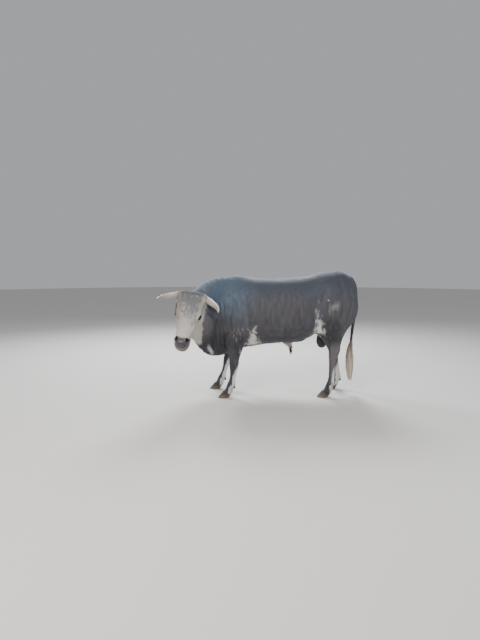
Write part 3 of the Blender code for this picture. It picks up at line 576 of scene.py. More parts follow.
def shape_lids(spots):
    """Moves points round both eyes: sinks the opening, raises the rims and presses a crease."""
    for side in (1, -1):
        axes = eye_axes(side)
        local = (spots - eye_centre(side)) @ axes
        u, v, w = local.T
        close = (np.linalg.norm(local, axis=1) < 0.062) & (w > -0.012)
        almond = np.sqrt((u / SLIT_LENGTH) ** 2 + (v / (SLIT_HEIGHT * (1 - 0.25 * u / SLIT_LENGTH))) ** 2)
        ball = np.sqrt(np.clip(EYE_RADIUS ** 2 - u * u - v * v, 0.0001, None))
        edge = (almond - 1) * SLIT_HEIGHT
        rim = ball + LID_THICK * hill(edge - 0.003, LID_WIDTH)
        crease = 0.0020 * hill(edge - 0.017, 0.0028) + 0.0014 * hill(edge - 0.026, 0.0030)
        on_rim = hill(np.clip(edge - 0.002, 0, None), 0.010)
        wanted = w * (1 - on_rim) + np.maximum(w, rim) * on_rim - crease
        sunk = ball - 0.008
        wanted = np.where(edge < 0, sunk + (rim - sunk) * smooth(-0.0035, 0.0, edge), wanted)
        local[:, 2] = np.where(close, wanted, w)
        spots[close] = (local @ axes.T + eye_centre(side))[close]
    return spots


def muzzle_relief(spots):
    """How far out each point of the muzzle moves, and how much it lies in a nostril or in the mouth."""
    n, left, up = spots.T
    out = np.zeros(len(spots))
    hole = np.zeros(len(spots))
    for side in (1, -1):
        along, across = n - NOSTRIL.x, side * left - NOSTRIL.y
        height = up - NOSTRIL.z
        curl = along * 0.85 - height * 0.5
        width = across + 6.0 * (curl - 0.004) ** 2
        ring = np.sqrt((curl / 0.0205) ** 2 + (width / 0.0105) ** 2 + (height / 0.05) ** 2)
        ring = np.where(side * left > 0.01, ring, 9)
        inside = smooth(1.0, 0.72, ring)
        comma = line_distance(n, side * left, NOSTRIL_COMMA)
        comma = hill(comma, 0.0042) * smooth(-0.12, -0.10, up)
        out += 0.0042 * hill(ring - 1.25, 0.34) - 0.012 * inside - 0.0055 * comma
        inside = np.maximum(inside, 0.85 * comma)
        hole = np.maximum(hole, inside)
    offset = over_mouth(n, up)
    lips = smooth(MOUTH_FROM - 0.010, MOUTH_FROM + 0.02, n) * smooth(-0.27, -0.22, up)
    out += lips * (0.0030 * hill(np.abs(offset) - 0.012, 0.008) - 0.0040 * hill(offset, 0.0028))
    parting = lips * hill(offset, 0.0034)
    chin_pores = smooth(0.50, 0.56, n) * smooth(-0.17, -0.19, up)
    out += 0.0008 * chin_pores * wander(spots, 0.006, 11)
    return out, hole, parting


FACE_LINES = [
    ("cheekbone", "side", [(0.285, -0.118), (0.345, -0.128), (0.405, -0.142)], 0.0050, 0.012),
    ("under_cheekbone", "side", [(0.300, -0.146), (0.360, -0.158), (0.420, -0.170)], -0.0040, 0.014),
    ("tear_trough", "side", [(0.292, -0.082), (0.325, -0.096), (0.362, -0.104)], -0.0032, 0.007),
    ("jaw_groove", "side", [(0.10, -0.232), (0.19, -0.262), (0.275, -0.232)], -0.0050, 0.014),
    ("jaw_edge", "side", [(0.12, -0.212), (0.20, -0.236), (0.30, -0.213)], 0.0035, 0.016),
    ("cheek_front", "side", [(0.262, -0.145), (0.272, -0.180), (0.262, -0.220)], -0.0045, 0.011),
    ("temple", "side", [(0.150, -0.050), (0.190, -0.058)], -0.0050, 0.020),
    ("nose_side", "front", [(0.300, 0.092), (0.36, 0.076), (0.430, 0.062)], -0.0030, 0.012),
    ("nose_bridge", "front", [(0.27, 0.030), (0.36, 0.032), (0.470, 0.034)], 0.0016, 0.011),
    ("over_nostril", "front", [(0.500, 0.040), (0.494, 0.062), (0.505, 0.082)], -0.0026, 0.006),
    ("above_wing", "front", [(0.478, 0.038), (0.474, 0.062), (0.486, 0.086)], -0.0014, 0.005),
]
CHEEK = ((0.170, -0.175), (0.105, 0.080), 0.0050)


def face_relief(spots):
    """Bones and wrinkles of the face: the crest below the eye, the cheek, the nose and the brow."""
    n, left, up = spots.T
    wide = np.abs(left)
    out = np.zeros(len(spots))
    for _, seen_from, path, height, width in FACE_LINES:
        across = up if seen_from == "side" else wide
        shown = smooth(0.055, 0.085, wide) if seen_from == "side" else smooth(-0.13, -0.08, up)
        out += height * shown * hill(line_distance(n, across, path), width)
    (cheek_n, cheek_up), (reach_n, reach_up), bulge = CHEEK
    cheek = np.hypot((n - cheek_n) / reach_n, (up - cheek_up) / reach_up)
    out += bulge * smooth(1.0, 0.55, cheek) * smooth(0.07, 0.10, wide)
    forehead = smooth(-0.01, 0.04, n) * smooth(0.26, 0.16, n) * smooth(0.115, 0.08, wide)
    out += 0.0011 * forehead * np.sin((wide + 0.010 * wander(spots, 0.06, 13)) / 0.026 * 2 * math.pi)
    philtrum = smooth(0.525, 0.55, n) * hill(left, 0.0035)
    out -= 0.0016 * philtrum
    out += 0.0016 * wander(spots, 0.07, 15) + 0.0009 * wander(spots, 0.022, 17)
    return out


# %% Move the points of the skin
skin = from_bmesh("skin", skin_shape)


def points_of(mesh):
    points = np.zeros(len(mesh.vertices) * 3)
    mesh.vertices.foreach_get("co", points)
    return points.reshape(-1, 3)


def normals_of(mesh):
    normals = np.zeros(len(mesh.vertices) * 3, np.float32)
    mesh.vertex_normals.foreach_get("vector", normals)
    return normals.reshape(-1, 3).astype(float)


def move_points(mesh, points):
    mesh.vertices.foreach_set("co", points.ravel())
    mesh.update()


def head_share(spots):
    """1 on the head and 0 on the neck and trunk, with a soft change behind the jaw."""
    n, left, up = spots.T
    behind_jaw = n * 0.80 + up * 0.60
    return smooth(-0.17, -0.07, behind_jaw) * smooth(-0.10, -0.03, n) * (np.abs(left) < 0.26) * (up > -0.45)


points, normals = points_of(skin.data), normals_of(skin.data)
places, spots = body_places(points), head_places(points)
in_head = head_share(spots)
muzzle_out, nostril_hole, lip_line = muzzle_relief(spots)
relief = body_relief(places, normals) * (1 - in_head) + (face_relief(spots) + muzzle_out) * in_head
tucked = UNDER_HOOF * smooth(0.006, -0.002, over_coronet(points))
shaped = points + normals * (relief - COAT_DEPTH - tucked)[:, None]
shaped = from_head(shape_lids(head_places(shaped)))
on_floor = np.maximum(shaped[:, 2], 0.004)
move_points(skin.data, np.column_stack([shaped[:, 0], shaped[:, 1], on_floor]))
skin.data.shade_smooth()
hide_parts(*FLESH)
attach(skin, "root")
print("skin triangles:", sum(len(face.vertices) - 2 for face in skin.data.polygons))

# %% [markdown]
# ## Markings
# The coat is slate brown, with a cream face, white streaks behind the elbow and in the flank, and pale
# lower legs. Over it lie painted light and shade: a bluish sheen on top and on the lit side of the neck,
# and shade low down, in hollows and at the edges of the face. Each mark is a soft shape in body or head
# places, feathered by noise, and both the skin and every tuft of hair take it at their own place.

# %% Colours and marks of the coat
SLATE = np.array(linear(66, 66, 73)[:3])
# Painted sheen: a bluish light on the lit side of the neck and on top of the back, not the coat's own
# colour.
PAINTED_BLUE_SHEEN = np.array(linear(75, 91, 107)[:3])
PAINTED_TOP_SHEEN = np.array(linear(64, 70, 81)[:3])
BROWN = np.array(linear(70, 63, 62)[:3])
NEARLY_BLACK = np.array(linear(34, 35, 41)[:3])
WARM_GREY = np.array(linear(104, 99, 101)[:3])
CREAM = np.array(linear(191, 185, 176)[:3])
FOREHEAD_GREY = np.array(linear(99, 103, 105)[:3])
LIP_GREY = np.array(linear(112, 101, 97)[:3])
ROSE = np.array(linear(182, 142, 132)[:3])
WHITE = np.array(linear(214, 211, 208)[:3])
EAR_BLUE = np.array(linear(54, 63, 72)[:3])

# Marks in body places (x, z): wedges by their corners, ellipses by centre, reach and tilt in degrees.
ELBOW_WEDGE = [(0.145, 0.800), (0.260, 0.55), (0.030, 0.54)]
FLANK_WEDGE = [(0.882, 1.010), (0.972, 0.745), (0.820, 0.735)]
OVER_ELBOW = ((0.172, 0.830), (0.013, 0.075), -22)
AHEAD_OF_ELBOW = ((0.092, 0.812), (0.013, 0.065), 40)
OVER_FLANK = ((0.868, 0.985), (0.045, 0.130), 12)
BRUSHED_THIGH = ((1.050, 1.060), (0.130, 0.085), 50)
THIGH_DOT = ((0.989, 1.142), (0.014, 0.014))
BRISKET_STRIPE = ((-0.340, 0.570), (0.090, 0.034), -72)
SPECKLED_ARM = ((-0.030, 0.765), (0.20, 0.16))
# Painted shade: these two ellipses darken the lower thigh and the upper arm, where little light falls.
SHADED_THIGH = ((1.030, 0.790), (0.15, 0.20))
SHADED_ARM = ((-0.034, 0.615), (0.11, 0.16))


def mixed(first, second, share):
    return first + (second - first) * share[:, None]


def ellipse(x, z, centre, reach, tilt=0.0):
    """1 in the middle of a tilted ellipse in the side view, and 0 on its edge and beyond."""
    turn = math.radians(tilt)
    across, up = x - centre[0], z - centre[1]
    along = (across * math.cos(turn) + up * math.sin(turn)) / reach[0]
    beside = (up * math.cos(turn) - across * math.sin(turn)) / reach[1]
    return np.clip(1 - np.hypot(along, beside), 0, 1)


def wedge(x, z, corners, soft):
    """1 inside a triangle in the side view, with edges that fade over a soft width."""
    inside = np.full(len(x), 1e9)
    for (x0, z0), (x1, z1) in zip(corners, corners[1:] + corners[:1]):
        run, rise = x1 - x0, z1 - z0
        inside = np.minimum(inside, ((x - x0) * rise - (z - z0) * run) / math.hypot(run, rise))
    return np.clip(0.5 + inside / soft, 0, 1)


def leg_shares(places):
    """How much each point belongs to a fore or a hind leg below the knee, and its place there."""
    x, y, z = places.T
    fore = smooth(0.47, 0.37, z) * (x < 0.5)
    hind = smooth(0.46, 0.36, z) * (x > 0.8) * (np.abs(y) > 0.10)
    lean = 0.30 * (z - 0.20)
    ahead = np.where(x < 0.5, x + 0.088 + 0.12 * (y > 0) - lean * 0.6, x - 1.060 - 0.155 * (y > 0))
    return fore, hind, ahead


def ground_colours(places, spots, normals):
    """Slate and brown in upright streaks, with a painted bluish sheen on top, painted shade low down and in
    hollows, and nearly black on the fronts of the legs.
    """
    x, y, z = places.T
    wide = wander(places, 0.22, 21)
    fine = wander(places, 0.035, 23)
    streaks = upright_streaks(places)
    brown = np.clip(0.45 + 0.5 * wide + 0.25 * fine, 0, 1) * 0.8
    ground = mixed(np.tile(SLATE, (len(x), 1)), BROWN, brown)
    # Painted sheen: bluish on faces that look up, high on the sides, and on the lit side of the neck.
    top = smooth(0.15, 0.85, normals[:, 2]) * smooth(0.9, 1.15, z)
    neck = smooth(0.28, -0.12, x) * smooth(0.80, 1.15, z)
    lit_side = smooth(0.30, -0.45, normals[:, 1] + 0.15 * wide)
    high_side = 0.65 * smooth(1.02, 1.24, z + 0.05 * wide) * (0.35 + 0.65 * lit_side)
    ground = mixed(ground, PAINTED_TOP_SHEEN, np.clip(np.maximum(0.85 * top, high_side) + 0.25 * streaks, 0, 0.9))
    ground = mixed(ground, PAINTED_BLUE_SHEEN, np.clip(neck * lit_side * (0.85 + 0.4 * streaks), 0, 0.92))
    # Painted shade: darker low down on the trunk, and in the ellipses on the lower thigh and the arm.
    low = smooth(0.78, 0.66, z) * (0.35 + 0.65 * smooth(0.15, 0.30, x))
    ground = mixed(ground, NEARLY_BLACK, 0.6 * low)
    ground = mixed(ground, NEARLY_BLACK, 0.5 * np.clip(-0.1 - streaks, 0, 1) * smooth(1.35, 1.1, z))
    shaded = np.maximum(1.6 * ellipse(x, z, *SHADED_THIGH), ellipse(x, z, *SHADED_ARM))
    rump = smooth(0.95, 1.15, x) * smooth(1.05, 1.30, z)
    ground = mixed(ground, NEARLY_BLACK, np.clip(0.9 * shaded * (1 + 0.5 * fine) + 0.22 * rump, 0, 0.75))
    ground = mixed(ground, WARM_GREY, 0.30 * np.clip(streaks - 0.1, 0, 1) * smooth(1.35, 1.1, z))
    n, left, up = spots.T
    wide_of_head = np.abs(left)
    cheek = smooth(-0.16, -0.06, n * 0.83 + up * 0.56) * smooth(0.12, 0.16, wide_of_head)
    cheek *= smooth(-0.05, 0.05, n) * smooth(-0.46, -0.30, up + 0.03 * fine)
    # Painted shade in the groove between the jaw and the neck.
    groove = hill(wide_of_head - 0.268, 0.020) * smooth(-0.12, -0.22, up)
    groove *= smooth(-0.05, 0.05, n) * smooth(0.45, 0.35, n)
    ground = mixed(ground, WARM_GREY, 0.55 * cheek * (1 + 0.6 * streaks))
    ground = mixed(ground, NEARLY_BLACK, 0.65 * groove)
    fore, hind, ahead = leg_shares(places)
    hock = smooth(0.70, 0.56, z) * (x > 0.8) * (np.abs(y) > 0.10)
    ground = mixed(ground, WARM_GREY, 0.75 * hock * smooth(-0.050, -0.010, ahead))
    return mixed(ground, NEARLY_BLACK, 0.6 * smooth(-0.004, -0.020, ahead) * np.maximum(fore, hind))


def white_marks(places):
    """White: behind the elbow, in the flank, on the brisket, speckled on the arm, and the feet."""
    x, y, z = places.T
    hairs = wander(places * np.array((1, 1, 0.30)), 0.009, 33)
    streaks = upright_streaks(places)
    outside = smooth(0.10, 0.18, np.abs(y))
    brushed = wander(places * np.array((1, 1, 0.35)), 0.016, 75)
    feather = 0.15 * streaks + 0.20 * brushed + 0.38 * hairs
    x = x + 0.009 * wander(places, 0.060, 71) + 0.005 * brushed
    z = z + 0.011 * wander(places, 0.060, 73)

    def worn(shape, strength, low, high):
        return strength * smooth(low, high, shape + feather * smooth(0, 0.2, shape))

    elbow = wedge(x, z, ELBOW_WEDGE, 0.120) * outside
    above = 1.2 * ellipse(x, z, *OVER_ELBOW) * outside
    ahead_above = 1.2 * ellipse(x, z, *AHEAD_OF_ELBOW) * outside
    flank = wedge(x, z, FLANK_WEDGE, 0.120) * outside
    over_flank = 1.1 * ellipse(x, z, *OVER_FLANK) * outside
    thigh = ellipse(x, z, *BRUSHED_THIGH) * (y < -0.15)
    dot = ellipse(x, z, *THIGH_DOT) * (y < 0)
    stripe = 1.3 * ellipse(x, z, *BRISKET_STRIPE) * (y < -0.02) * (z < 0.70)
    arm = ellipse(x, z, *SPECKLED_ARM) * outside
    white = worn(elbow, 0.92, 0.22, 0.88)
    for shape, strength, low, high in ((above, 0.48, 0.15, 0.95), (ahead_above, 0.42, 0.20, 0.95),
                                       (flank, 0.82, 0.22, 0.98), (over_flank, 0.42, 0.10, 1.05),
                                       (stripe, 0.95, 0.15, 0.70)):
        white = np.maximum(white, worn(shape, strength, low, high))
    combed = thigh + (0.30 * streaks + 0.30 * brushed + 0.30 * hairs) * smooth(0, 0.25, thigh)
    white = np.maximum(white, 0.27 * smooth(0.05, 0.95, combed))
    speckled = 0.65 * arm + (0.40 * brushed + 0.60 * hairs) * smooth(0, 0.2, arm)
    white = np.maximum(white, 0.40 * smooth(0.38, 1.10, speckled))
    white = np.maximum(white, smooth(0.2, 0.5, dot))
    fore, hind, ahead = leg_shares(places)
    narrowed = ahead - 0.042 * smooth(0.25, 0.46, z + 0.035 * streaks + 0.02 * brushed)
    rear = smooth(-0.012, 0.012, narrowed + 0.010 * streaks + 0.008 * hairs + 0.006 * brushed)
    rear = np.maximum(rear, 0.9 * smooth(-0.052, -0.022, narrowed + 0.010 * hairs) * (x > 0.8) * (y > 0))
    top = z + 0.022 * streaks + 0.014 * hairs
    pastern = smooth(0.175, 0.115, top) * smooth(-0.040, -0.012, ahead + 0.010 * hairs)
    white = np.maximum(white, fore * np.maximum(rear, pastern * 0.9))
    return np.maximum(white, smooth(0.42, 0.24, z + 0.05 * streaks) * hind * np.maximum(rear, pastern))


def cream_marks(places, spots):
    """The pale face: as far as the cheeks, behind the jaw, and down the throat."""
    n, left, up = spots.T
    fine = wander(places, 0.030, 31)
    right_side = smooth(0.02, -0.04, left)
    behind_left_jaw = n * 0.83 + up * 0.56 + 0.10
    behind_right_jaw = n * 0.70 + up * 0.90 + 0.19
    behind_jaw = behind_left_jaw * (1 - right_side) + behind_right_jaw * right_side
    cheek_edge = 0.156 + 0.010 * wander(places, 0.05, 27) + 0.005 * fine
    cheek_edge = cheek_edge + 0.05 * right_side * smooth(-0.30, -0.20, up)
    cream = smooth(-0.012, 0.012, behind_jaw + 0.010 * fine) * smooth(-0.030, -0.012, n)
    cream *= smooth(cheek_edge + 0.016, cheek_edge - 0.012, np.abs(left)) * (up > -0.48)
    throat = smooth(-0.30, -0.33, up) * smooth(0.30, 0.36, n) * smooth(-0.46, -0.42, up + 0.02 * fine)
    return np.maximum(cream, throat * smooth(0.16, 0.12, np.abs(left)) * (n < 0.62))


def sheath_mask(places):
    """1 on the lower end of the sheath, which is nearly bare and rosy."""
    low, high = (np.array(corner) - np.array(WITHERS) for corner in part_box("sheath"))
    middle, reach = (low + high) / 2, (high - low) / 2
    away = np.linalg.norm((places - middle) / (reach * np.array((1.05, 1.2, 1.0))), axis=1)
    lower = smooth(high[2] - 0.025, low[2] + 0.035, places[:, 2])
    return smooth(1.35, 0.95, away) * lower


def pale_colours(places, spots, white, cream):
    """Cream, greyer in fine curls towards the poll, rosy towards the nose, with painted shade at the edges
    of the face, and white elsewhere.
    """
    n, left, up = spots.T
    count = len(n)
    streaks = upright_streaks(places)
    fine = wander(spots * np.array((0.45, 1, 1)), 0.0085, 29)
    curls = 0.40 * fine + 0.35 * wander(spots, 0.022, 35) + 0.25 * wander(spots, 0.06, 57)
    temples = smooth(0.085, 0.125, np.abs(left)) * np.where(left > 0, 0.75, 0.35)
    forehead = smooth(0.50, 0.10, n) * smooth(-0.12, -0.04, up) * (1 - temples)
    grey = np.clip(forehead * (0.98 + 0.9 * curls) + 0.25 * np.clip(curls, 0, 1), 0, 0.95)
    pale = mixed(np.tile(CREAM, (count, 1)), FOREHEAD_GREY, grey)
    right = smooth(-0.05, -0.12, left) * smooth(0.05, 0.2, n)
    blush = 0.14 * smooth(0.36, 0.50, n) + 0.25 * right
    pale = mixed(pale, ROSE, np.clip(blush * (1 + 0.6 * wander(places, 0.05, 37)), 0, 1))
    # Painted shade: greyer towards both edges of the face, and most on its right side.
    edges = smooth(0.055, 0.110, np.abs(left)) * smooth(-0.05, 0.10, n)
    pale = mixed(pale, LIP_GREY, (0.12 + 0.42 * right) * edges)
    lips = smooth(0.505, 0.528, n + 0.006 * fine)
    pale = mixed(pale, LIP_GREY, lips * np.clip(0.95 + 0.5 * curls, 0, 1))
    pale = mixed(pale, WHITE, np.clip(white * (1 - cream), 0, 1))
    pale = mixed(pale, (ROSE + CREAM) / 2, sheath_mask(places))
    return np.clip(pale * (1 + 0.07 * streaks)[:, None], 0, 1)


def nose_mask(places, spots):
    """1 on the bare dark pad between and above the nostrils."""
    n, left, up = spots.T
    wide = np.abs(left)
    above_lips = over_mouth(n, up)
    ragged = 0.004 * wander(places, 0.012, 39)
    edge = n - 0.30 * np.clip(0.048 - wide, 0, 1) + ragged
    side = 0.086 - 0.9 * np.clip(0.070 - above_lips, 0, 1) + ragged
    below = 0.030 + 0.25 * wide
    pad = smooth(0.506, 0.518, edge) * smooth(below - 0.008, below + 0.008, above_lips + ragged)
    return pad * smooth(side, side - 0.012, wide)


def coat_colours(places, spots, normals):
    """Ground colour, pale colour and the masks white, cream and nose, for each point."""
    white, cream = white_marks(places), np.maximum(cream_marks(places, spots), sheath_mask(places))
    masks = np.column_stack([white, cream, nose_mask(places, spots)])
    return ground_colours(places, spots, normals), pale_colours(places, spots, white, cream), masks


def colour_attribute(mesh, name, colours):
    layer = mesh.color_attributes.new(name, "FLOAT_COLOR", "POINT")
    with_alpha = np.column_stack([colours, np.ones(len(colours))]).astype(np.float32)
    layer.data.foreach_set("color", with_alpha.ravel())


def mark(mesh, places, spots, normals, extra=None):
    """Writes the coat's colours and marks on a mesh. extra holds darkness (dark lid rims and tear streaks,
    and painted shade in the nostrils and between the lips), rose and wetness.
    """
    ground, pale, marks = coat_colours(places, spots, normals)
    colour_attribute(mesh, "ground", ground)
    colour_attribute(mesh, "pale", pale)
    colour_attribute(mesh, "marks", marks)
    colour_attribute(mesh, "bare", np.zeros((len(places), 3)) if extra is None else extra)
    return ground, pale, marks


TEAR_STREAK = [(0.024, 0.002), (0.034, 0.007), (0.046, 0.012)]


def eye_edges(spots):
    """1 on the dark rims of the lids, 0 away from them."""
    near = np.zeros(len(spots))
    for side in (1, -1):
        local = (spots - eye_centre(side)) @ eye_axes(side)
        u, v, w = local.T
        almond = np.sqrt((u / SLIT_LENGTH) ** 2 + (v / SLIT_HEIGHT) ** 2)
        edge = (almond - 1) * SLIT_HEIGHT
        lids = smooth(0.0075, 0.0025, edge) * (np.linalg.norm(local, axis=1) < 0.06) * (w > -0.01)
        tear = line_distance(u, side * v, TEAR_STREAK)
        tear = 0.8 * hill(tear, 0.0036) * (np.linalg.norm(local, axis=1) < 0.075) * (w > -0.045)
        near = np.maximum(near, np.maximum(lids, tear))
    return near


skin_points, skin_normals = points_of(skin.data), normals_of(skin.data)
skin_places, skin_spots = body_places(skin_points), head_places(skin_points)
lid_dark = eye_edges(skin_spots)
# Darkness: the dark lid rims and tear streaks, and painted shade in the nostrils and the parting of the
# lips.
darkness = np.clip(lid_dark + nostril_hole + lip_line, 0, 1) * in_head
lip_offset = over_mouth(skin_spots[:, 0], skin_spots[:, 2])
lip_rose = in_head * smooth(0.535, 0.575, skin_spots[:, 0]) * smooth(0.006, -0.004, lip_offset)
wetness = np.clip(darkness * 0.6, 0, 1)
skin_marks = mark(skin.data, skin_places, skin_spots, skin_normals,
                  np.column_stack([darkness, lip_rose, wetness]))
print("cream share of the skin:", round(float(skin_marks[2][:, 1].mean()), 3))

# %% [markdown]
# ## One paint for skin and hair
# A node group turns the stored colours and masks into the final colour. Fine noise breaks the
# edge of each mark into single hairs, so the net of points never shows in it. The skin and all the
# tufts use the same group with their own values.

# %% Node group for the coat


def value_node(tree, kind, **settings):
    node = tree.nodes.new(kind)
    for name, setting in settings.items():
        setattr(node, name, setting)
    return node


def give(tree, socket, value):
    """Feeds a socket with a number, with a colour, or with another node's output."""
    if isinstance(value, (int, float, tuple)):
        socket.default_value = value
    else:
        tree.links.new(value, socket)


def maths(tree):
    """A function that adds one math node to a tree and returns its output."""
    def arithmetic(operation, first, second=0.0):
        node = value_node(tree, "ShaderNodeMath", operation=operation)
        give(tree, node.inputs[0], first)
        give(tree, node.inputs[1], second)
        return node.outputs[0]
    return arithmetic


def noise(tree, place, scale, detail, **more):
    node = value_node(tree, "ShaderNodeTexNoise")
    for name, value in {"Vector": place, "Scale": scale, "Detail": detail, **more}.items():
        if value is not None:
            give(tree, node.inputs[name], value)
    return node.outputs["Fac"]


def stretched(tree, value, low, high):
    """A value from 0 to 1, stretched to run from low to high."""
    node = value_node(tree, "ShaderNodeMapRange")
    for name, setting in (("To Min", low), ("To Max", high), ("Value", value)):
        give(tree, node.inputs[name], setting)
    return node.outputs["Result"]


def dimmed(tree, colour, factor):
    node = value_node(tree, "ShaderNodeVectorMath", operation="SCALE")
    give(tree, node.inputs[0], colour)
    give(tree, node.inputs["Scale"], factor)
    return node.outputs[0]


def blended(tree, share, first, second):
    """One colour into another, by a share from 0 to 1."""
    node = value_node(tree, "ShaderNodeMix", data_type="RGBA")
    give(tree, node.inputs["Factor"], share)
    give(tree, node.inputs[6], first)
    give(tree, node.inputs[7], second)
    return node.outputs[2]


def add_bump(tree, shader, height, strength, distance):
    node = value_node(tree, "ShaderNodeBump")
    node.inputs["Strength"].default_value = strength
    node.inputs["Distance"].default_value = distance
    give(tree, node.inputs["Height"], height)
    give(tree, shader.inputs["Normal"], node.outputs["Normal"])


def build_coat_group():
    group = bpy.data.node_groups.new("coat_paint", "ShaderNodeTree")
    sockets = group.interface
    for name in ("Ground", "Pale", "Marks", "Bare"):
        sockets.new_socket(name, in_out="INPUT", socket_type="NodeSocketColor")
    sockets.new_socket("Place", in_out="INPUT", socket_type="NodeSocketVector")
    sockets.new_socket("Hair Scale", in_out="INPUT", socket_type="NodeSocketFloat")
    sockets.new_socket("Color", in_out="OUTPUT", socket_type="NodeSocketColor")
    sockets.new_socket("Roughness", in_out="OUTPUT", socket_type="NodeSocketFloat")
    sockets.new_socket("Height", in_out="OUTPUT", socket_type="NodeSocketFloat")
    given = group.nodes.new("NodeGroupInput")
    result = group.nodes.new("NodeGroupOutput")
    wire = group.links.new

    place = given.outputs["Place"]
    hairs = noise(group, place, given.outputs["Hair Scale"], 5, Roughness=0.62)
    tufts = noise(group, place, 58, 3, Distortion=1.2)
    pebbles = value_node(group, "ShaderNodeTexVoronoi", feature="SMOOTH_F1")
    pebbles.inputs["Scale"].default_value = 260
    pebbles.inputs["Smoothness"].default_value = 0.35
    wire(place, pebbles.inputs["Vector"])

    masks = value_node(group, "ShaderNodeSeparateColor")
    wire(given.outputs["Marks"], masks.inputs["Color"])
    bare = value_node(group, "ShaderNodeSeparateColor")
    wire(given.outputs["Bare"], bare.inputs["Color"])
    nose = masks.outputs["Blue"]
    arithmetic = maths(group)

    def feathered(mask, spread):
        ragged = arithmetic("MULTIPLY", arithmetic("SUBTRACT", hairs, 0.5), spread)
        inside = arithmetic("MULTIPLY", mask, arithmetic("ADD", 1.0, ragged))
        step = value_node(group, "ShaderNodeMapRange", interpolation_type="SMOOTHSTEP")
        step.inputs["From Min"].default_value = 0.05
        step.inputs["From Max"].default_value = 0.95
        wire(inside, step.inputs["Value"])
        return step.outputs["Result"]

    white, cream = feathered(masks.outputs["Red"], 1.6), feathered(masks.outputs["Green"], 1.0)
    marked = arithmetic("MAXIMUM", white, cream)
    coat = blended(group, marked, given.outputs["Ground"], given.outputs["Pale"])
    uneven = arithmetic("ADD", arithmetic("MULTIPLY", hairs, 0.6), arithmetic("MULTIPLY", tufts, 0.4))
    shaded = dimmed(group, coat, stretched(group, uneven, 0.72, 1.26))
    nose_colour = blended(group, pebbles.outputs["Distance"], linear(74, 70, 78), linear(36, 33, 38))
    nosed = blended(group, nose, shaded, nose_colour)
    rosy = blended(group, arithmetic("MULTIPLY", bare.outputs["Green"], 0.4), nosed, linear(170, 134, 124))
    # Bare red darkens the lid rims and tear streaks, and paints shade in the nostrils and between the lips.
    wire(blended(group, bare.outputs["Red"], rosy, linear(22, 17, 17)), result.inputs["Color"])

    wet = arithmetic("MAXIMUM", bare.outputs["Blue"], nose)
    rough = stretched(group, hairs, 0.62, 0.80)
    wire(arithmetic("SUBTRACT", rough, arithmetic("MULTIPLY", wet, 0.34)), result.inputs["Roughness"])
    bumps = value_node(group, "ShaderNodeMix", data_type="FLOAT")
    wire(nose, bumps.inputs[0])
    wire(arithmetic("ADD", arithmetic("MULTIPLY", hairs, 0.55), tufts), bumps.inputs[2])
    wire(arithmetic("SUBTRACT", 1.0, pebbles.outputs["Distance"]), bumps.inputs[3])
    wire(bumps.outputs[0], result.inputs["Height"])
    return group


coat_group = build_coat_group()


def coat_material(name, hair_scale, bump, sheen):
    """Skin or hair: the stored colours through the coat's group, with a bump and a soft sheen."""
    material, nodes, links = new_material(name)
    shader = nodes["Principled BSDF"]
    paint = nodes.new("ShaderNodeGroup")
    paint.node_tree = coat_group
    paint.inputs["Hair Scale"].default_value = hair_scale
    for attribute in ("ground", "pale", "marks", "bare"):
        stored = nodes.new("ShaderNodeAttribute")
        stored.attribute_name = attribute
        links.new(stored.outputs["Color"], paint.inputs[attribute.capitalize()])
    place = nodes.new("ShaderNodeTexCoord")
    links.new(place.outputs["Object"], paint.inputs["Place"])
    links.new(paint.outputs["Color"], shader.inputs["Base Color"])
    links.new(paint.outputs["Roughness"], shader.inputs["Roughness"])
    add_bump(material.node_tree, shader, paint.outputs["Height"], bump, 0.0016)
    shader.inputs["Sheen Weight"].default_value = sheen
    shader.inputs["Sheen Roughness"].default_value = 0.45
    shader.inputs["Sheen Tint"].default_value = linear(206, 216, 230)
    return material


SKIN_PAINT = coat_material("short_coat_on_skin", 520, 0.55, 0.16)
HAIR_PAINT = coat_material("tufts_of_hair", 420, 0.25, 0.12)
skin.data.materials.clear()
skin.data.materials.append(SKIN_PAINT)

# %% [markdown]
# ## Eyes
# A bull's eye is a wet dark ball with a brown iris and a wide level pupil. The clear cornea bulges a
# little in front. The ball is a sphere whose points near its axis are pulled out, and each point keeps its
# place in the eye's own axes, so the material can draw the iris round it.

# %% Eyeballs
CORNEA_RISE = 0.0014
CORNEA_WIDTH = 0.55


WHITE_OF_EYE = (0.74, 0.66, 0.06, linear(92, 72, 62))
PUPIL = (0.34, 0.20, -0.05, linear(5, 5, 8))


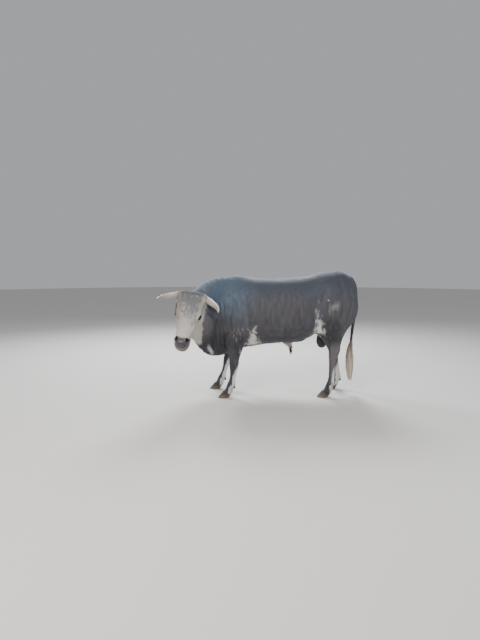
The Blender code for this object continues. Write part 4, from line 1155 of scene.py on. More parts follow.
def eye_material():
    """A brown iris, a level pupil and the white round them, drawn in the eye's own axes."""
    material, nodes, links = new_material("wet_eye")
    tree = material.node_tree
    shader = nodes["Principled BSDF"]
    arithmetic = maths(tree)
    gaze = value_node(tree, "ShaderNodeAttribute", attribute_name="gaze")
    across = nodes.new("ShaderNodeSeparateXYZ")
    links.new(gaze.outputs["Vector"], across.inputs["Vector"])

    def ellipse_of(wide, tall):
        """1 on an ellipse round the middle of the eye, and less inside it."""
        squares = []
        for axis, reach in (("X", wide), ("Y", tall)):
            part = arithmetic("DIVIDE", arithmetic("ABSOLUTE", across.outputs[axis]), reach)
            squares.append(arithmetic("POWER", part, 2.0))
        return arithmetic("SQRT", arithmetic("ADD", *squares))

    iris = nodes.new("ShaderNodeValToRGB")
    iris.color_ramp.elements[0].color = linear(58, 34, 20)
    iris.color_ramp.elements[1].color = linear(24, 14, 10)
    iris.color_ramp.elements.new(0.5).color = linear(44, 25, 15)
    links.new(noise(tree, None, 900, 4), iris.inputs["Fac"])
    colour = iris.outputs["Color"]
    for wide, tall, soft, paint in (WHITE_OF_EYE, PUPIL):
        share = value_node(tree, "ShaderNodeMapRange", interpolation_type="SMOOTHSTEP")
        share.inputs["From Min"].default_value = 1.0
        share.inputs["From Max"].default_value = 1.0 + soft
        links.new(ellipse_of(wide, tall), share.inputs["Value"])
        colour = blended(tree, share.outputs["Result"], colour, paint)
    links.new(colour, shader.inputs["Base Color"])
    shader.inputs["Roughness"].default_value = 0.12
    shader.inputs["Specular IOR Level"].default_value = 0.25
    shader.inputs["Coat Weight"].default_value = 0.55
    shader.inputs["Coat Roughness"].default_value = 0.02
    return material


EYE_PAINT = eye_material()
for side, node in ((1, "left_eye"), (-1, "right_eye")):
    ball_shape = bmesh.new()
    bmesh.ops.create_uvsphere(ball_shape, u_segments=64, v_segments=40, radius=1)
    eyeball = from_bmesh(node + "ball", ball_shape)
    local = points_of(eyeball.data)
    front = np.clip(local[:, 2], 0, 1)
    off_axis = np.hypot(local[:, 0], local[:, 1])
    reach = EYE_RADIUS - 0.0004 + CORNEA_RISE * hill(off_axis, CORNEA_WIDTH) * (front > 0)
    gaze = eyeball.data.attributes.new("gaze", "FLOAT_VECTOR", "POINT")
    gaze.data.foreach_set("vector", local.astype(np.float32).ravel())
    placed = (local * reach[:, None]) @ eye_axes(side).T + eye_centre(side)
    move_points(eyeball.data, from_head(placed))
    eyeball.data.shade_smooth()
    eyeball.data.materials.append(EYE_PAINT)
    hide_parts(node)
    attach(eyeball, "root")
    print(node, "at", middle_of(node))

# %% [markdown]
# ## Horn and hoof
# Horn grows in layers, so it carries rings: wavy near the root of a horn, level on a hoof. Copies of the
# solids are remeshed at two to three millimetres and the rings pressed in along the normals. The
# colour follows the length, kept as one number per point.

# %% Fine copies of solids


def fine_copy(name, node_names, grain, smoothing):
    """A fine, even net round copies of solids, without thinning them."""
    piece = flesh_net(name, node_names, grain, smoothing)
    piece.data.shade_smooth()
    return piece


def number_attribute(mesh, name, values):
    layer = mesh.attributes.new(name, "FLOAT", "POINT")
    layer.data.foreach_set("value", np.asarray(values, np.float32))


def horn_material(name, colours, fibre_scale, roughness):
    """Layers of horn: colour along the length, fine lines across, and a satin gloss."""
    root, middle, tip = colours
    material, nodes, links = new_material(name)
    tree = material.node_tree
    shader = nodes["Principled BSDF"]
    arithmetic = maths(tree)
    length = value_node(tree, "ShaderNodeAttribute", attribute_name="length")
    place = nodes.new("ShaderNodeTexCoord").outputs["Object"]
    clouds = noise(tree, place, 45, 4)
    fibres = noise(tree, place, fibre_scale, 5, Roughness=0.65)
    ramp = nodes.new("ShaderNodeValToRGB")
    ramp.color_ramp.elements[0].position = 0.10
    ramp.color_ramp.elements[0].color = root
    ramp.color_ramp.elements[1].color = tip
    ramp.color_ramp.elements.new(0.55).color = middle
    along = arithmetic("ADD", arithmetic("MULTIPLY", clouds, 0.22), length.outputs["Fac"])
    links.new(along, ramp.inputs["Fac"])
    shaded = dimmed(tree, ramp.outputs["Color"], stretched(tree, fibres, 0.70, 1.18))
    links.new(shaded, shader.inputs["Base Color"])
    rough = stretched(tree, clouds, roughness - 0.12, roughness + 0.14)
    links.new(rough, shader.inputs["Roughness"])
    add_bump(tree, shader, fibres, 0.35, 0.0008)
    return material


# %% Horns
HORN_GRAIN = 0.0026
HORN_LENGTH = 0.34
HORN_RING = 0.013
HORN_COLOURS = linear(166, 146, 134), linear(188, 177, 166), linear(150, 134, 122)
HORN_PAINT = horn_material("horn", HORN_COLOURS, 260, 0.42)

for side, node in ((1, "left_horn"), (-1, "right_horn")):
    horn = fine_copy(node + "_fine", [node], HORN_GRAIN, 3)
    points, normals = points_of(horn.data), normals_of(horn.data)
    spots = head_places(points)
    out = np.hypot(spots[:, 1], spots[:, 2] + 0.06) - 0.12
    run = np.clip(out / (HORN_LENGTH * 0.75), 0, 1)
    waves = np.sin((out + 0.004 * wander(points, 0.03, 41)) / HORN_RING * 2 * math.pi)
    rings = 0.0011 * waves * smooth(0.60, 0.05, run)
    ridges = 0.0004 * wander(points, 0.008, 43) * smooth(0.75, 0.2, run)
    move_points(horn.data, points + normals * (rings + ridges - 0.0004)[:, None])
    number_attribute(horn.data, "length", run)
    horn.data.materials.append(HORN_PAINT)
    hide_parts(node)
    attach(horn, "root")
    print(node, "triangles:", 2 * len(horn.data.polygons))

# %% Claws and dewclaws
CLAW_GRAIN = 0.0028
CLAW_RING = 0.0085
CLAW_TOP = 0.075
CLAW_COLOURS = linear(44, 38, 34), linear(70, 60, 52), linear(104, 90, 76)
CLAW_PAINT = horn_material("hoof_horn", CLAW_COLOURS, 340, 0.5)

for leg in LEGS:
    nodes_here = CLAWS[leg] + DEWCLAWS[leg]
    claws = fine_copy(leg + "_claws", nodes_here, CLAW_GRAIN, 2)
    points, normals = points_of(claws.data), normals_of(claws.data)
    height = points[:, 2]
    slope = height + CORONET_TILT * (points[:, 0] - points[:, 0].mean())
    waves = np.sin((slope + 0.002 * wander(points, 0.02, 45)) / CLAW_RING * 2 * math.pi)
    wall = smooth(0.006, 0.016, height)
    relief = wall * (0.0004 * waves + 0.0005 * wander(points, 0.006, 47)) - 0.0004
    moved = points + normals * relief[:, None]
    moved[:, 2] = np.where(height < 0.002, 0.0, moved[:, 2])
    move_points(claws.data, moved)
    number_attribute(claws.data, "length", 1 - np.clip(height / CLAW_TOP, 0, 1))
    claws.data.materials.append(CLAW_PAINT)
    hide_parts(*nodes_here)
    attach(claws, "root")
    print(leg, "claws:", 2 * len(claws.data.polygons), "triangles")

# %% [markdown]
# ## Ears
# An ear is a thin leaf of skin over gristle. Its rim is thinner than the skin's net could hold, so each
# ear is a fine copy of its own. It is dark like the neck, with a paler rim, and hair grows from inside it.

# %% Ear skins
EAR_GRAIN = 0.0024
EAR_LENGTH = 0.215
EAR_ROOT = Vector((0.090, 0.128, -0.105))
ears = {}
for side, node in ((1, "left_ear"), (-1, "right_ear")):
    ear = fine_copy(node + "_fine", [node], EAR_GRAIN, 2)
    points, normals = points_of(ear.data), normals_of(ear.data)
    root = np.array(on_head(EAR_ROOT.x, side * EAR_ROOT.y, EAR_ROOT.z))
    away = np.linalg.norm(points - root, axis=1)
    tip = points[away.argmax()]
    axis = (tip - root) / np.linalg.norm(tip - root)
    run = np.clip((points - root) @ axis / EAR_LENGTH, 0, 1)
    veins = 0.0006 * wander(points, 0.012, 49) * smooth(0.05, 0.3, run)
    move_points(ear.data, points + normals * (veins - 0.0003)[:, None])
    ground, pale, masks = coat_colours(body_places(points), head_places(points), normals)
    ground = mixed(np.tile(EAR_BLUE, (len(points), 1)), NEARLY_BLACK, 0.5 * smooth(0.8, 0.1, run))
    ground = mixed(ground, WARM_GREY, 0.5 * smooth(0.70, 1.0, run))
    for name, colours in (("ground", ground), ("pale", pale), ("marks", masks * 0), ("bare", masks * 0)):
        colour_attribute(ear.data, name, colours)
    ear.data.materials.append(SKIN_PAINT)
    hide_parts(node)
    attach(ear, "root")
    ears[side] = (ear, root, axis)
    print(node, "triangles:", 2 * len(ear.data.polygons))

# %% [markdown]
# ## How a tuft is made
# Hair that only exists as a particle or a curve is lost on the way out, so each tuft is a solid:
# one or more three-cornered rings, flat underneath with a ridge on top, closed to a point. Many
# thousands are laid out at once as arrays and joined to one mesh. Each tuft gets one small patch
# of a map that unrolls the skin, at the place of its root, so a baked colour stays its own.

# %% Meshes of many tufts
BAKE_PATCH = 0.003
PATCH_CORNERS = np.array(((-0.5, -0.5), (0.5, -0.5), (0.0, 0.5)))


def tuft_faces(rings):
    """The faces of one tuft: a base, the walls between its rings, and the point."""
    faces = [(1, 0, 2)]
    for ring in range(rings - 1):
        here, there = 3 * ring, 3 * ring + 3
        faces += [(here, here + 1, there + 1, there), (here + 1, here + 2, there + 2, there + 1),
                  (here + 2, here, there, there + 2)]
    last, tip = 3 * rings - 3, 3 * rings
    return faces + [(last, last + 1, tip), (last + 1, last + 2, tip), (last + 2, last, tip)]


def mesh_of_tufts(name, lines, sides, tops, widths, thick, roots_on_map):
    """Joins tufts to one mesh. lines: their middles from root to tip, widths: one per ring."""
    count, rings = len(lines), lines.shape[1] - 1
    rows = []
    for ring in range(rings):
        middle = lines[:, ring]
        half = sides * widths[:, ring, None] / 2
        rows += [middle - half, middle + half, middle + tops * thick[:, ring, None]]
    points = np.stack(rows + [lines[:, rings]], axis=1)
    faces = tuft_faces(rings)
    sizes = np.array([len(face) for face in faces])
    corners = np.concatenate([np.array(face) for face in faces])
    per_tuft = 3 * rings + 1
    corner_points = (corners[None, :] + per_tuft * np.arange(count)[:, None]).ravel()
    all_sizes = np.tile(sizes, count)

    mesh = bpy.data.meshes.new(name)
    mesh.vertices.add(count * per_tuft)
    mesh.vertices.foreach_set("co", points.astype(np.float32).ravel())
    mesh.loops.add(len(corner_points))
    mesh.loops.foreach_set("vertex_index", corner_points.astype(np.int32))
    mesh.polygons.add(len(all_sizes))
    mesh.polygons.foreach_set("loop_start", (np.cumsum(all_sizes) - all_sizes).astype(np.int32))
    mesh.update(calc_edges=True)
    mesh.shade_smooth()

    offsets = np.vstack([PATCH_CORNERS] * rings + [[(0.0, 0.0)]])[corners] * BAKE_PATCH
    on_map = (roots_on_map[:, None, :] + offsets[None, :, :]).astype(np.float32)
    mesh.uv_layers.new(name="OFBake").data.foreach_set("uv", on_map.ravel())

    lean = np.array([-0.55, 0.55, 0.0])
    normals = []
    for ring in range(rings):
        normals += [tops + sides * amount for amount in lean]
    normals = np.stack(normals + [tops], axis=1).reshape(-1, 3)
    normals /= np.linalg.norm(normals, axis=1)[:, None]
    mesh.normals_split_custom_set_from_vertices(normals.astype(np.float32))
    return mesh


def paint_tufts(mesh, rings, colours, tones):
    """Gives every point of a tuft its root's colours, darker at the root and paler at the tip."""
    per_tuft = 3 * rings + 1
    along = np.repeat(np.linspace(0.80, 1.12, rings + 1), 3)[:per_tuft]
    shade = (tones[:, None] * along[None, :])[:, :, None]
    for name, values in colours.items():
        spread = np.repeat(values[:, None, :], per_tuft, axis=1)
        if name in ("ground", "pale"):
            spread = np.clip(spread * shade, 0, 1)
        colour_attribute(mesh, name, spread.reshape(-1, 3))


def hair_lines(roots, flow, tops, lengths, rings, lift, sink, droop=0.0, wave=0.0, phase=0.0):
    """Middle lines: they rise from the sunk root, lie along the flow, droop, and wave sideways."""
    sides = np.cross(tops, flow)
    lines = []
    for share in np.linspace(0, 1, rings + 1):
        rise = -sink + (lift * lengths + sink) * (1 - (1 - share) ** 1.5)
        across = wave * lengths * (np.sin(share * 4.5 + phase) - np.sin(phase))
        fall = np.zeros_like(roots)
        fall[:, 2] = -droop * lengths * share * share
        lines.append(roots + flow * (lengths * share)[:, None] + tops * rise[:, None]
                     + sides * across[:, None] + fall)
    return np.stack(lines, axis=1), sides


def unit(vectors):
    return vectors / np.maximum(np.linalg.norm(vectors, axis=1), 1e-9)[:, None]


def along_surface(directions, normals):
    """The part of each direction that lies in the skin."""
    return unit(directions - normals * (directions * normals).sum(axis=1)[:, None])


# %% [markdown]
# ## Which way the hair lies
# On cattle the hair runs back and down over the trunk, down the legs, back from the neck to the
# shoulder, and from a whorl on the forehead down to the muzzle and up to the poll.

# %% Lie and length of the coat
WHORL = 0.11


def lie_of_coat(places, spots, normals, head_part):
    """The way the hair lies at each place, along the skin."""
    x, _, z = places.T
    n, left, up = spots.T
    flow = np.tile((1.0, 0.0, -0.30), (len(x), 1))
    down = smooth(0.86, 0.66, z) * np.maximum(x < 0.30, smooth(0.85, 0.95, x))
    thigh = smooth(0.90, 1.05, x) * smooth(1.35, 1.10, z)
    flow = mixed(flow, np.array((0.30, 0.0, -1.0)), np.maximum(down, 0.8 * thigh))
    flow = mixed(flow, np.array((0.60, 0.50, -0.75)), smooth(0.0, -0.22, x) * smooth(0.55, 0.75, z))
    on_tail = smooth(1.28, 1.32, x) * (z < 1.30)
    on_scrotum = smooth(0.95, 0.93, x) * smooth(0.91, 0.93, x) * (z < 0.70)
    flow = mixed(flow, np.array((0.0, 0.0, -1.0)), np.clip(on_tail + on_scrotum, 0, 1))
    to_muzzle = np.tanh((n - WHORL) / 0.03)
    parted = np.clip(left / 0.12, -1, 1)
    face = np.column_stack([to_muzzle, 0.35 * parted, -0.1 * np.ones(len(n))])
    side_of_face = smooth(0.10, 0.14, np.abs(left)) * smooth(-0.04, -0.10, up) * smooth(0.40, 0.30, n)
    face = mixed(face, np.array((-0.25, 0.0, -1.0)), side_of_face)
    under = smooth(-0.16, -0.22, up)
    face = mixed(face, np.array((-0.6, 0.0, -0.5)), under)
    flow = mixed(flow, face @ np.array(HEAD_TURN).T, head_part)
    swirl = np.column_stack([wander(places, 0.07, seed) for seed in (51, 53, 55)])
    return along_surface(unit(flow) + 0.22 * swirl, normals)


def hair_length(places, spots, head_part):
    """About 2 cm on the trunk, longer under the neck and belly, shortest on the face and feet."""
    x, _, z = places.T
    n, left, up = spots.T
    length = 0.0185 + 0.007 * smooth(0.75, 0.60, z) * (x < 0.75) + 0.004 * smooth(0.0, -0.2, x)
    length = length + (0.0095 - length) * smooth(0.48, 0.36, z) * np.maximum(x < 0.5, x > 0.75)
    length = length + (0.0075 - length) * smooth(0.16, 0.08, z)
    face = 0.0125 - 0.0055 * smooth(0.30, 0.46, n) + 0.006 * smooth(0.14, 0.06, n)
    near_eye = np.linalg.norm(np.column_stack([n, np.abs(left), up]) - np.array(EYE), axis=1)
    face = face * (0.55 + 0.45 * smooth(0.035, 0.075, near_eye))
    return length + (face - length) * head_part


# %% [markdown]
# ## Sowing the roots
# Roots are drawn over the triangles of the skin by their area, with more to the square metre where
# the hair is shorter. The draw is stepped evenly and seeded, so they lie close without clumps.
# None grows on the nose, the lips, inside the lids, or under horn and hoof.

# %% Roots on the skin
rng = np.random.default_rng(11)


def triangles_of(mesh):
    mesh.calc_loop_triangles()
    corners = np.zeros(len(mesh.loop_triangles) * 3, np.int32)
    mesh.loop_triangles.foreach_get("vertices", corners)
    return corners.reshape(-1, 3)


def sow(points, triangles, density_at_points):
    """Random places on a mesh: the corners of the chosen triangles, and the shares of those."""
    corners = points[triangles]
    first_side, second_side = corners[:, 1] - corners[:, 0], corners[:, 2] - corners[:, 0]
    area = np.linalg.norm(np.cross(first_side, second_side), axis=1) / 2
    wanted = np.cumsum(area * density_at_points[triangles].mean(axis=1))
    count = int(wanted[-1])
    steps = np.arange(count) + rng.random(count)
    chosen = np.minimum(np.searchsorted(wanted, steps), len(wanted) - 1)
    a, b = rng.random(count), rng.random(count)
    flip = a + b > 1
    a, b = np.where(flip, 1 - a, a), np.where(flip, 1 - b, b)
    return triangles[chosen], np.column_stack([1 - a - b, a, b])


def at_roots(values, chosen, shares):
    """Values of a mesh's points, blended to the roots."""
    corner_values = values[chosen]
    if values.ndim == 1:
        return (corner_values * shares).sum(axis=1)
    return (corner_values * shares[:, :, None]).sum(axis=1)


def distance_to(pieces, points, reach):
    """Distance from each point to the nearest of some pieces, or reach if none is so near."""
    nearest = np.full(len(points), reach)
    for piece in pieces:
        vertices = points_of(piece.data)
        low, high = vertices.min(axis=0) - reach, vertices.max(axis=0) + reach
        tree = BVHTree.FromObject(piece, bpy.context.evaluated_depsgraph_get())
        for index in np.nonzero(((points > low) & (points < high)).all(axis=1))[0]:
            distance = tree.find_nearest(Vector(points[index]), reach)[3]
            if distance is not None:
                nearest[index] = min(nearest[index], distance)
    return nearest


def near_hard_parts(points, reach):
    """True where a root would sit under a horn, an ear or a claw."""
    hard_ends = ("_claws", "_horn_fine", "_ear_fine")
    hard = [piece for piece in bpy.data.objects if piece.name.endswith(hard_ends)]
    return distance_to(hard, points, reach) < reach


HARD_CLEARANCE = 0.0022
MOST_TUFTS = 130000
skin_triangles = triangles_of(skin.data)
skin_bare = np.clip(lid_dark + nostril_hole + 0.8 * lip_line, 0, 1) * in_head
skin_bare = np.maximum(skin_bare, skin_marks[2][:, 2])


def sow_on_skin(density):
    """Roots on the skin, clear of horn, ear and hoof, with their normals and their share of the head."""
    chosen, shares = sow(skin_points, skin_triangles, density * (skin_bare < 0.35))
    roots = at_roots(skin_points, chosen, shares)
    normals = unit(at_roots(skin_normals, chosen, shares))
    head_part = at_roots(in_head, chosen, shares)
    keep = ~near_hard_parts(roots, HARD_CLEARANCE)
    return roots[keep], normals[keep], head_part[keep]


lengths_on_skin = hair_length(skin_places, skin_spots, in_head)
density = 1.40 / (lengths_on_skin * (0.0012 + 0.16 * lengths_on_skin))
roots, root_normals, root_head = sow_on_skin(np.minimum(density, MOST_TUFTS))
print("tufts of the short coat:", len(roots))

# %% [markdown]
# ## The short coat
# A well-kept bull has a short, smooth coat. Each tuft lies almost flat: its root is sunk a
# millimetre, and its tip stands off a tenth of its length. They are parted into pieces by body
# region, and each region is unrolled round its own axis for the map.

# %% Regions and their maps
REGIONS = ["coat_head", "coat_neck", "coat_trunk_left", "coat_trunk_right",
           "coat_forelegs", "coat_hindlegs", "coat_tail"]
HEAD_REGION, TRUNK_REGION, FEET_REGION, TAIL_REGION = 0, 2, 4, 6


def region_of(places, head_part):
    x, y, z = places.T
    region = np.where(y < 0, 2, 3)
    region[(x < -0.12) & (z > 0.55)] = 1
    region[head_part > 0.5] = 0
    region[(z < 0.64) & (x < 0.25) & (np.abs(y) > 0.11) & (x > -0.30)] = 4
    region[(z < 0.80) & (x > 0.84) & (np.abs(y) > 0.075)] = 5
    region[(x > 1.18) & (np.abs(y) < 0.045) & (z < 1.30)] = 6
    region[(x > 0.42) & (z < 0.68) & (np.abs(y) <= 0.075)] = 6
    return region


def around(first, second):
    return np.arctan2(first, second) / (2 * math.pi) + 0.5


def unrolled(region, places, spots):
    """Where roots lie on a map of the skin, unrolled round the axis of each region."""
    x, y, z = places.T
    n, left, up = spots.T
    if region == 0:
        first, second = (n + 0.15) / 0.85, around(left, up + 0.13)
    elif region == 1:
        first, second = (0.10 - x * 0.7 - y * 0.5) / 0.95, around(y * 0.7 - x * 0.5 - 0.1, z - 0.98)
    elif region in (2, 3):
        first, second = (x + 0.45) / 1.90, np.arctan2(z - 1.0, np.abs(y)) / math.pi + 0.5
    elif region in (4, 5):
        middle = np.where(x < 0.5, -0.08 - 0.12 * (y > 0), 1.06 + 0.155 * (y > 0))
        track = np.where(x < 0.5, 0.21, 0.195)
        first, second = ((y > 0) + around(x - middle, np.abs(y) - track)) / 2, z / 0.9
    else:
        first, second = ((x > 1.1) + around(x - np.where(x > 1.1, 1.34, 0.97), y)) / 2, z / 1.5
    return np.clip(np.column_stack([first, second]), 0.01, 0.99)


# %% Lay the short coat
LIFT = 0.085
STRAY_HAIRS = 1.6
ROOT_SINK = 0.0010


def lay_coat(name, region, roots, normals, head_part):
    """One piece of short coat over its region of the skin."""
    places, spots = body_places(roots), head_places(roots)
    flow = lie_of_coat(places, spots, normals, head_part)
    sides = np.cross(normals, flow)
    flow = unit(flow + sides * rng.normal(0, 0.16, len(roots))[:, None])
    lengths = hair_length(places, spots, head_part) * rng.uniform(0.75, 1.25, len(roots))
    lift = LIFT * rng.uniform(0.6, 1.5, len(roots)) * (1 - 0.4 * head_part)
    lines, sides = hair_lines(roots, flow, normals, lengths, 1, lift, ROOT_SINK)
    widths = (0.0008 + 0.095 * lengths)[:, None] * rng.uniform(0.7, 1.2, (len(roots), 1))
    on_map = unrolled(region, places, spots)
    mesh = mesh_of_tufts(name, lines, sides, normals, widths, widths * 0.30, on_map)
    ground, pale, masks = coat_colours(places, spots, normals)
    mixed_hairs = masks + STRAY_HAIRS * masks * (1 - masks) * rng.normal(0, 1, masks.shape)
    masks = np.clip(mixed_hairs, 0, 1)
    colours = {"ground": ground, "pale": pale, "marks": masks, "bare": np.zeros_like(ground)}
    paint_tufts(mesh, 1, colours, rng.normal(1.0, 0.09, len(roots)))
    coat = put(name, mesh)
    mesh.materials.append(HAIR_PAINT)
    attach(coat, "root")
    print(name, "tufts:", len(roots), "triangles:", 4 * len(roots))


regions = region_of(body_places(roots), root_head)
for index, name in enumerate(REGIONS):
    here = regions == index
    lay_coat(name, index, roots[here], root_normals[here], root_head[here])

# %% [markdown]
# ## Longer hair
# In places the hair is longer than the coat: a shaggy poll, fringes round the roots of horns and ears,
# long hair in the ears, a dark brush at the sheath, fringes over the hooves and behind the fetlocks.
# Every hair here is a bent tuft of three rings. One table gives each place its density and its look.

# %% Bent tufts
RINGS = 3
TAPER = np.array([1.0, 0.85, 0.55])


def bent_tufts(roots, normals, flow, length, width, lift, droop=0.0, wave=0.0):
    """Lines, widths and directions of longer tufts, from places that have been sown."""
    count = len(roots)
    flow = along_surface(flow, normals)
    sides = np.cross(normals, flow)
    flow = unit(flow + sides * rng.normal(0, 0.20, count)[:, None])
    lengths = length * rng.uniform(0.65, 1.2, count)
    lifts = lift * rng.uniform(0.5, 1.4, count)
    phase = rng.uniform(0, 2 * math.pi, count)
    lines, sides = hair_lines(roots, flow, normals, lengths, RINGS, lifts, ROOT_SINK, droop, wave, phase)
    widths = width * rng.uniform(0.7, 1.3, count)[:, None] * TAPER
    return {"lines": lines, "sides": sides, "tops": normals, "widths": widths, "thick": widths * 0.35}


def coat_look(roots, normals):
    """The coat's own colours at the roots of longer hair."""
    ground, pale, masks = coat_colours(body_places(roots), head_places(roots), normals)
    masks[:, 2] = 0
    return {"ground": ground, "pale": pale, "marks": masks, "bare": np.zeros_like(ground)}


def plain_look(count, colour, spread):
    """One colour, a little lighter or darker from tuft to tuft."""
    shades = np.clip(np.tile(colour, (count, 1)) * rng.normal(1, spread, (count, 1)), 0, 1)
    nothing = np.zeros((count, 3))
    return {"ground": shades, "pale": shades, "marks": nothing, "bare": nothing}


def lay_hair(name, batches, region):
    """Joins batches of longer tufts, each with its look, to one piece."""
    joined = {key: np.concatenate([batch[key] for batch, look in batches]) for key in batches[0][0]}
    looks = {key: np.concatenate([look[key] for batch, look in batches]) for key in batches[0][1]}
    roots = joined["lines"][:, 0]
    on_map = unrolled(region, body_places(roots), head_places(roots))
    mesh = mesh_of_tufts(name, joined["lines"], joined["sides"], joined["tops"], joined["widths"],
                         joined["thick"], on_map)
    rings = joined["lines"].shape[1] - 1
    paint_tufts(mesh, rings, looks, rng.normal(1.0, 0.10, len(roots)))
    mesh.materials.append(HAIR_PAINT)
    hair = put(name, mesh)
    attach(hair, "root")
    print(name, "tufts:", len(roots), "triangles:", (6 * rings - 2) * len(roots))
    return hair


# %% Poll, horn roots, ear roots and chin
skin_n, skin_left, skin_up = skin_spots.T
skin_wide = np.abs(skin_left)
crest = in_head * smooth(0.155, 0.125, skin_wide) * smooth(-0.12, -0.06, skin_up)
top_of_head = crest * smooth(0.050, 0.015, skin_n)
forelock = crest * smooth(0.130, 0.040, skin_n) * smooth(-0.02, 0.02, skin_n)
brow = crest * smooth(0.215, 0.110, skin_n) * smooth(0.03, 0.08, skin_n)
horn_pieces = [bpy.data.objects[f"{side}_horn_fine"] for side in ("left", "right")]
ear_pieces = [ear for ear, _, _ in ears.values()]
round_horns = smooth(0.020, 0.008, distance_to(horn_pieces, skin_points, 0.03))
round_ears = smooth(0.028, 0.012, distance_to(ear_pieces, skin_points, 0.03))
on_chin = smooth(0.48, 0.54, skin_n) * smooth(-0.150, -0.175, skin_up)
on_lips = smooth(0.47, 0.52, skin_n) * smooth(-0.03, -0.06, skin_up)

# Each row: name, tufts to the square metre, direction in the head's axes, length, width, lift, droop, wave.
HEAD_HAIR = [
    ("poll", 45000 * top_of_head, (0.7, 0.35, 0.1), 0.020, 0.0021, 0.26, 0.10, 0.12),
    ("forelock", 38000 * forelock, (0.9, 0.20, 0.0), 0.016, 0.0018, 0.18, 0.08, 0.12),
    ("brow", 26000 * brow, (1.0, 0.20, 0.0), 0.012, 0.0014, 0.13, 0.05, 0.12),
    ("horn roots", 60000 * round_horns, (0.1, 1.0, 0.0), 0.017, 0.0019, 0.28, 0.0, 0.05),
    ("ear roots", 42000 * round_ears, (-0.2, 1.0, -0.5), 0.019, 0.0018, 0.22, 0.1, 0.05),
    ("chin", 9000 * on_chin, (-0.3, 0.2, -0.8), 0.014, 0.0011, 0.45, 0.2, 0.04),
    ("lips", 5000 * on_lips, (0.6, 0.6, -0.4), 0.012, 0.0009, 0.50, 0.2, 0.04),
]


def head_flow(roots, along, sideways, up):
    """A direction in the head's own axes; sideways points away from the middle."""
    side = np.sign(head_places(roots)[:, 1])
    flow = np.column_stack([np.full(len(roots), along), sideways * side, np.full(len(roots), up)])
    return flow @ np.array(HEAD_TURN).T


head_batches = []
for what, density, direction, *look in HEAD_HAIR:
    roots, normals, _ = sow_on_skin(density * in_head)
    batch = bent_tufts(roots, normals, head_flow(roots, *direction), *look)
    head_batches.append((batch, coat_look(roots, normals)))
    print(what, "tufts:", len(roots))

# %% Lashes
LASHES = 80
LASH_LENGTH = 0.017
for side in (1, -1):
    axes = eye_axes(side)
    for upper, rows, reach in ((1, 2, LASH_LENGTH), (-1, 1, LASH_LENGTH * 0.5)):
        count = LASHES * rows // 2
        share = rng.uniform(-0.92, 0.80, count)
        height = SLIT_HEIGHT * (1 - 0.25 * share) * np.sqrt(1 - share ** 2)
        height = height + rng.uniform(0.0, 0.0018, count)
        u, v = SLIT_LENGTH * share, -side * upper * height
        w = np.sqrt(np.clip(EYE_RADIUS ** 2 - u * u - v * v, 0.0001, None)) + LID_THICK
        roots = from_head(np.column_stack([u, v, w]) @ axes.T + eye_centre(side))
        outward = np.tile(np.array(HEAD_TURN) @ axes[:, 2], (count, 1))
        away = np.tile(np.array(HEAD_TURN) @ axes[:, 1] * -side * upper, (count, 1))
        flow = unit(0.9 * away + 0.5 * outward + 0.15 * np.array(HEAD_TURN)[:, 0])
        tops = unit(outward - 0.5 * away)
        batch = bent_tufts(roots, tops, flow, reach, 0.0009, 0.55, 0.35, 0.0)
        head_batches.append((batch, plain_look(count, NEARLY_BLACK * 0.6, 0.1)))
lay_hair("hair_head", head_batches, HEAD_REGION)

# %% Hair on and in the ears
EAR_OPENING = Vector((0.30, 0.45, 0.85))
for side, (ear, root, axis) in ears.items():
    points, normals = points_of(ear.data), normals_of(ear.data)
    triangles = triangles_of(ear.data)
    opening = HEAD_TURN @ Vector((EAR_OPENING.x, side * EAR_OPENING.y, EAR_OPENING.z)).normalized()
    inside = smooth(0.05, 0.45, normals @ np.array(opening))
    run = np.clip((points - root) @ axis / EAR_LENGTH, 0, 1)
    middle = root + np.outer(run * EAR_LENGTH, axis)
    from_middle = unit(points - middle)
    batches = []
    for density, length, width, lift, pale_part in (
            (95000 * (1 - inside), 0.0085, 0.0015, 0.10, 0.0),
            (40000 * inside * smooth(0.02, 0.2, run), 0.019, 0.0013, 0.26, 0.45),
            (30000 * smooth(0.55, 0.95, run), 0.012, 0.0013, 0.16, 0.30)):
        chosen, shares = sow(points, triangles, density)
        roots = at_roots(points, chosen, shares)
        tops = unit(at_roots(normals, chosen, shares))
        flow = axis + 0.55 * at_roots(from_middle, chosen, shares)
        batch = bent_tufts(roots, tops, flow, length, width, lift, 0.15, 0.06)
        colour = EAR_BLUE + (WARM_GREY - EAR_BLUE) * pale_part
        batches.append((batch, plain_look(len(roots), colour, 0.16)))
    which = "left" if side > 0 else "right"
    lay_hair(which + "_ear_hair", batches, HEAD_REGION)

# %% Feet, sheath, brisket and belly
skin_x, skin_y, skin_z = skin_places.T
over = over_coronet(skin_points)
behind = smooth(0.1, 0.5, skin_normals[:, 0]) * smooth(0.185, 0.150, skin_z) * smooth(0.060, 0.085, skin_z)
coronet_band = smooth(-0.003, 0.000, over) * smooth(0.012, 0.008, over)
under_neck = smooth(-0.15, -0.55, skin_normals[:, 2]) * smooth(0.12, 0.0, skin_x)
under_neck *= smooth(0.42, 0.50, skin_z)
belly_line = smooth(-0.5, -0.8, skin_normals[:, 2]) * smooth(0.12, 0.07, np.abs(skin_y))
belly_line *= (skin_x > 0.10) * (skin_x < 0.90) * (skin_z < 0.70)
sheath_low, sheath_high = (np.array(corner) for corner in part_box("sheath"))
in_sheath = ((skin_points > sheath_low - 0.01) & (skin_points < sheath_high + 0.01)).all(axis=1)
sheath_tip = skin_points[in_sheath][skin_points[in_sheath][:, 2].argmin()]
at_sheath = smooth(0.030, 0.012, np.linalg.norm(skin_points - sheath_tip, axis=1))

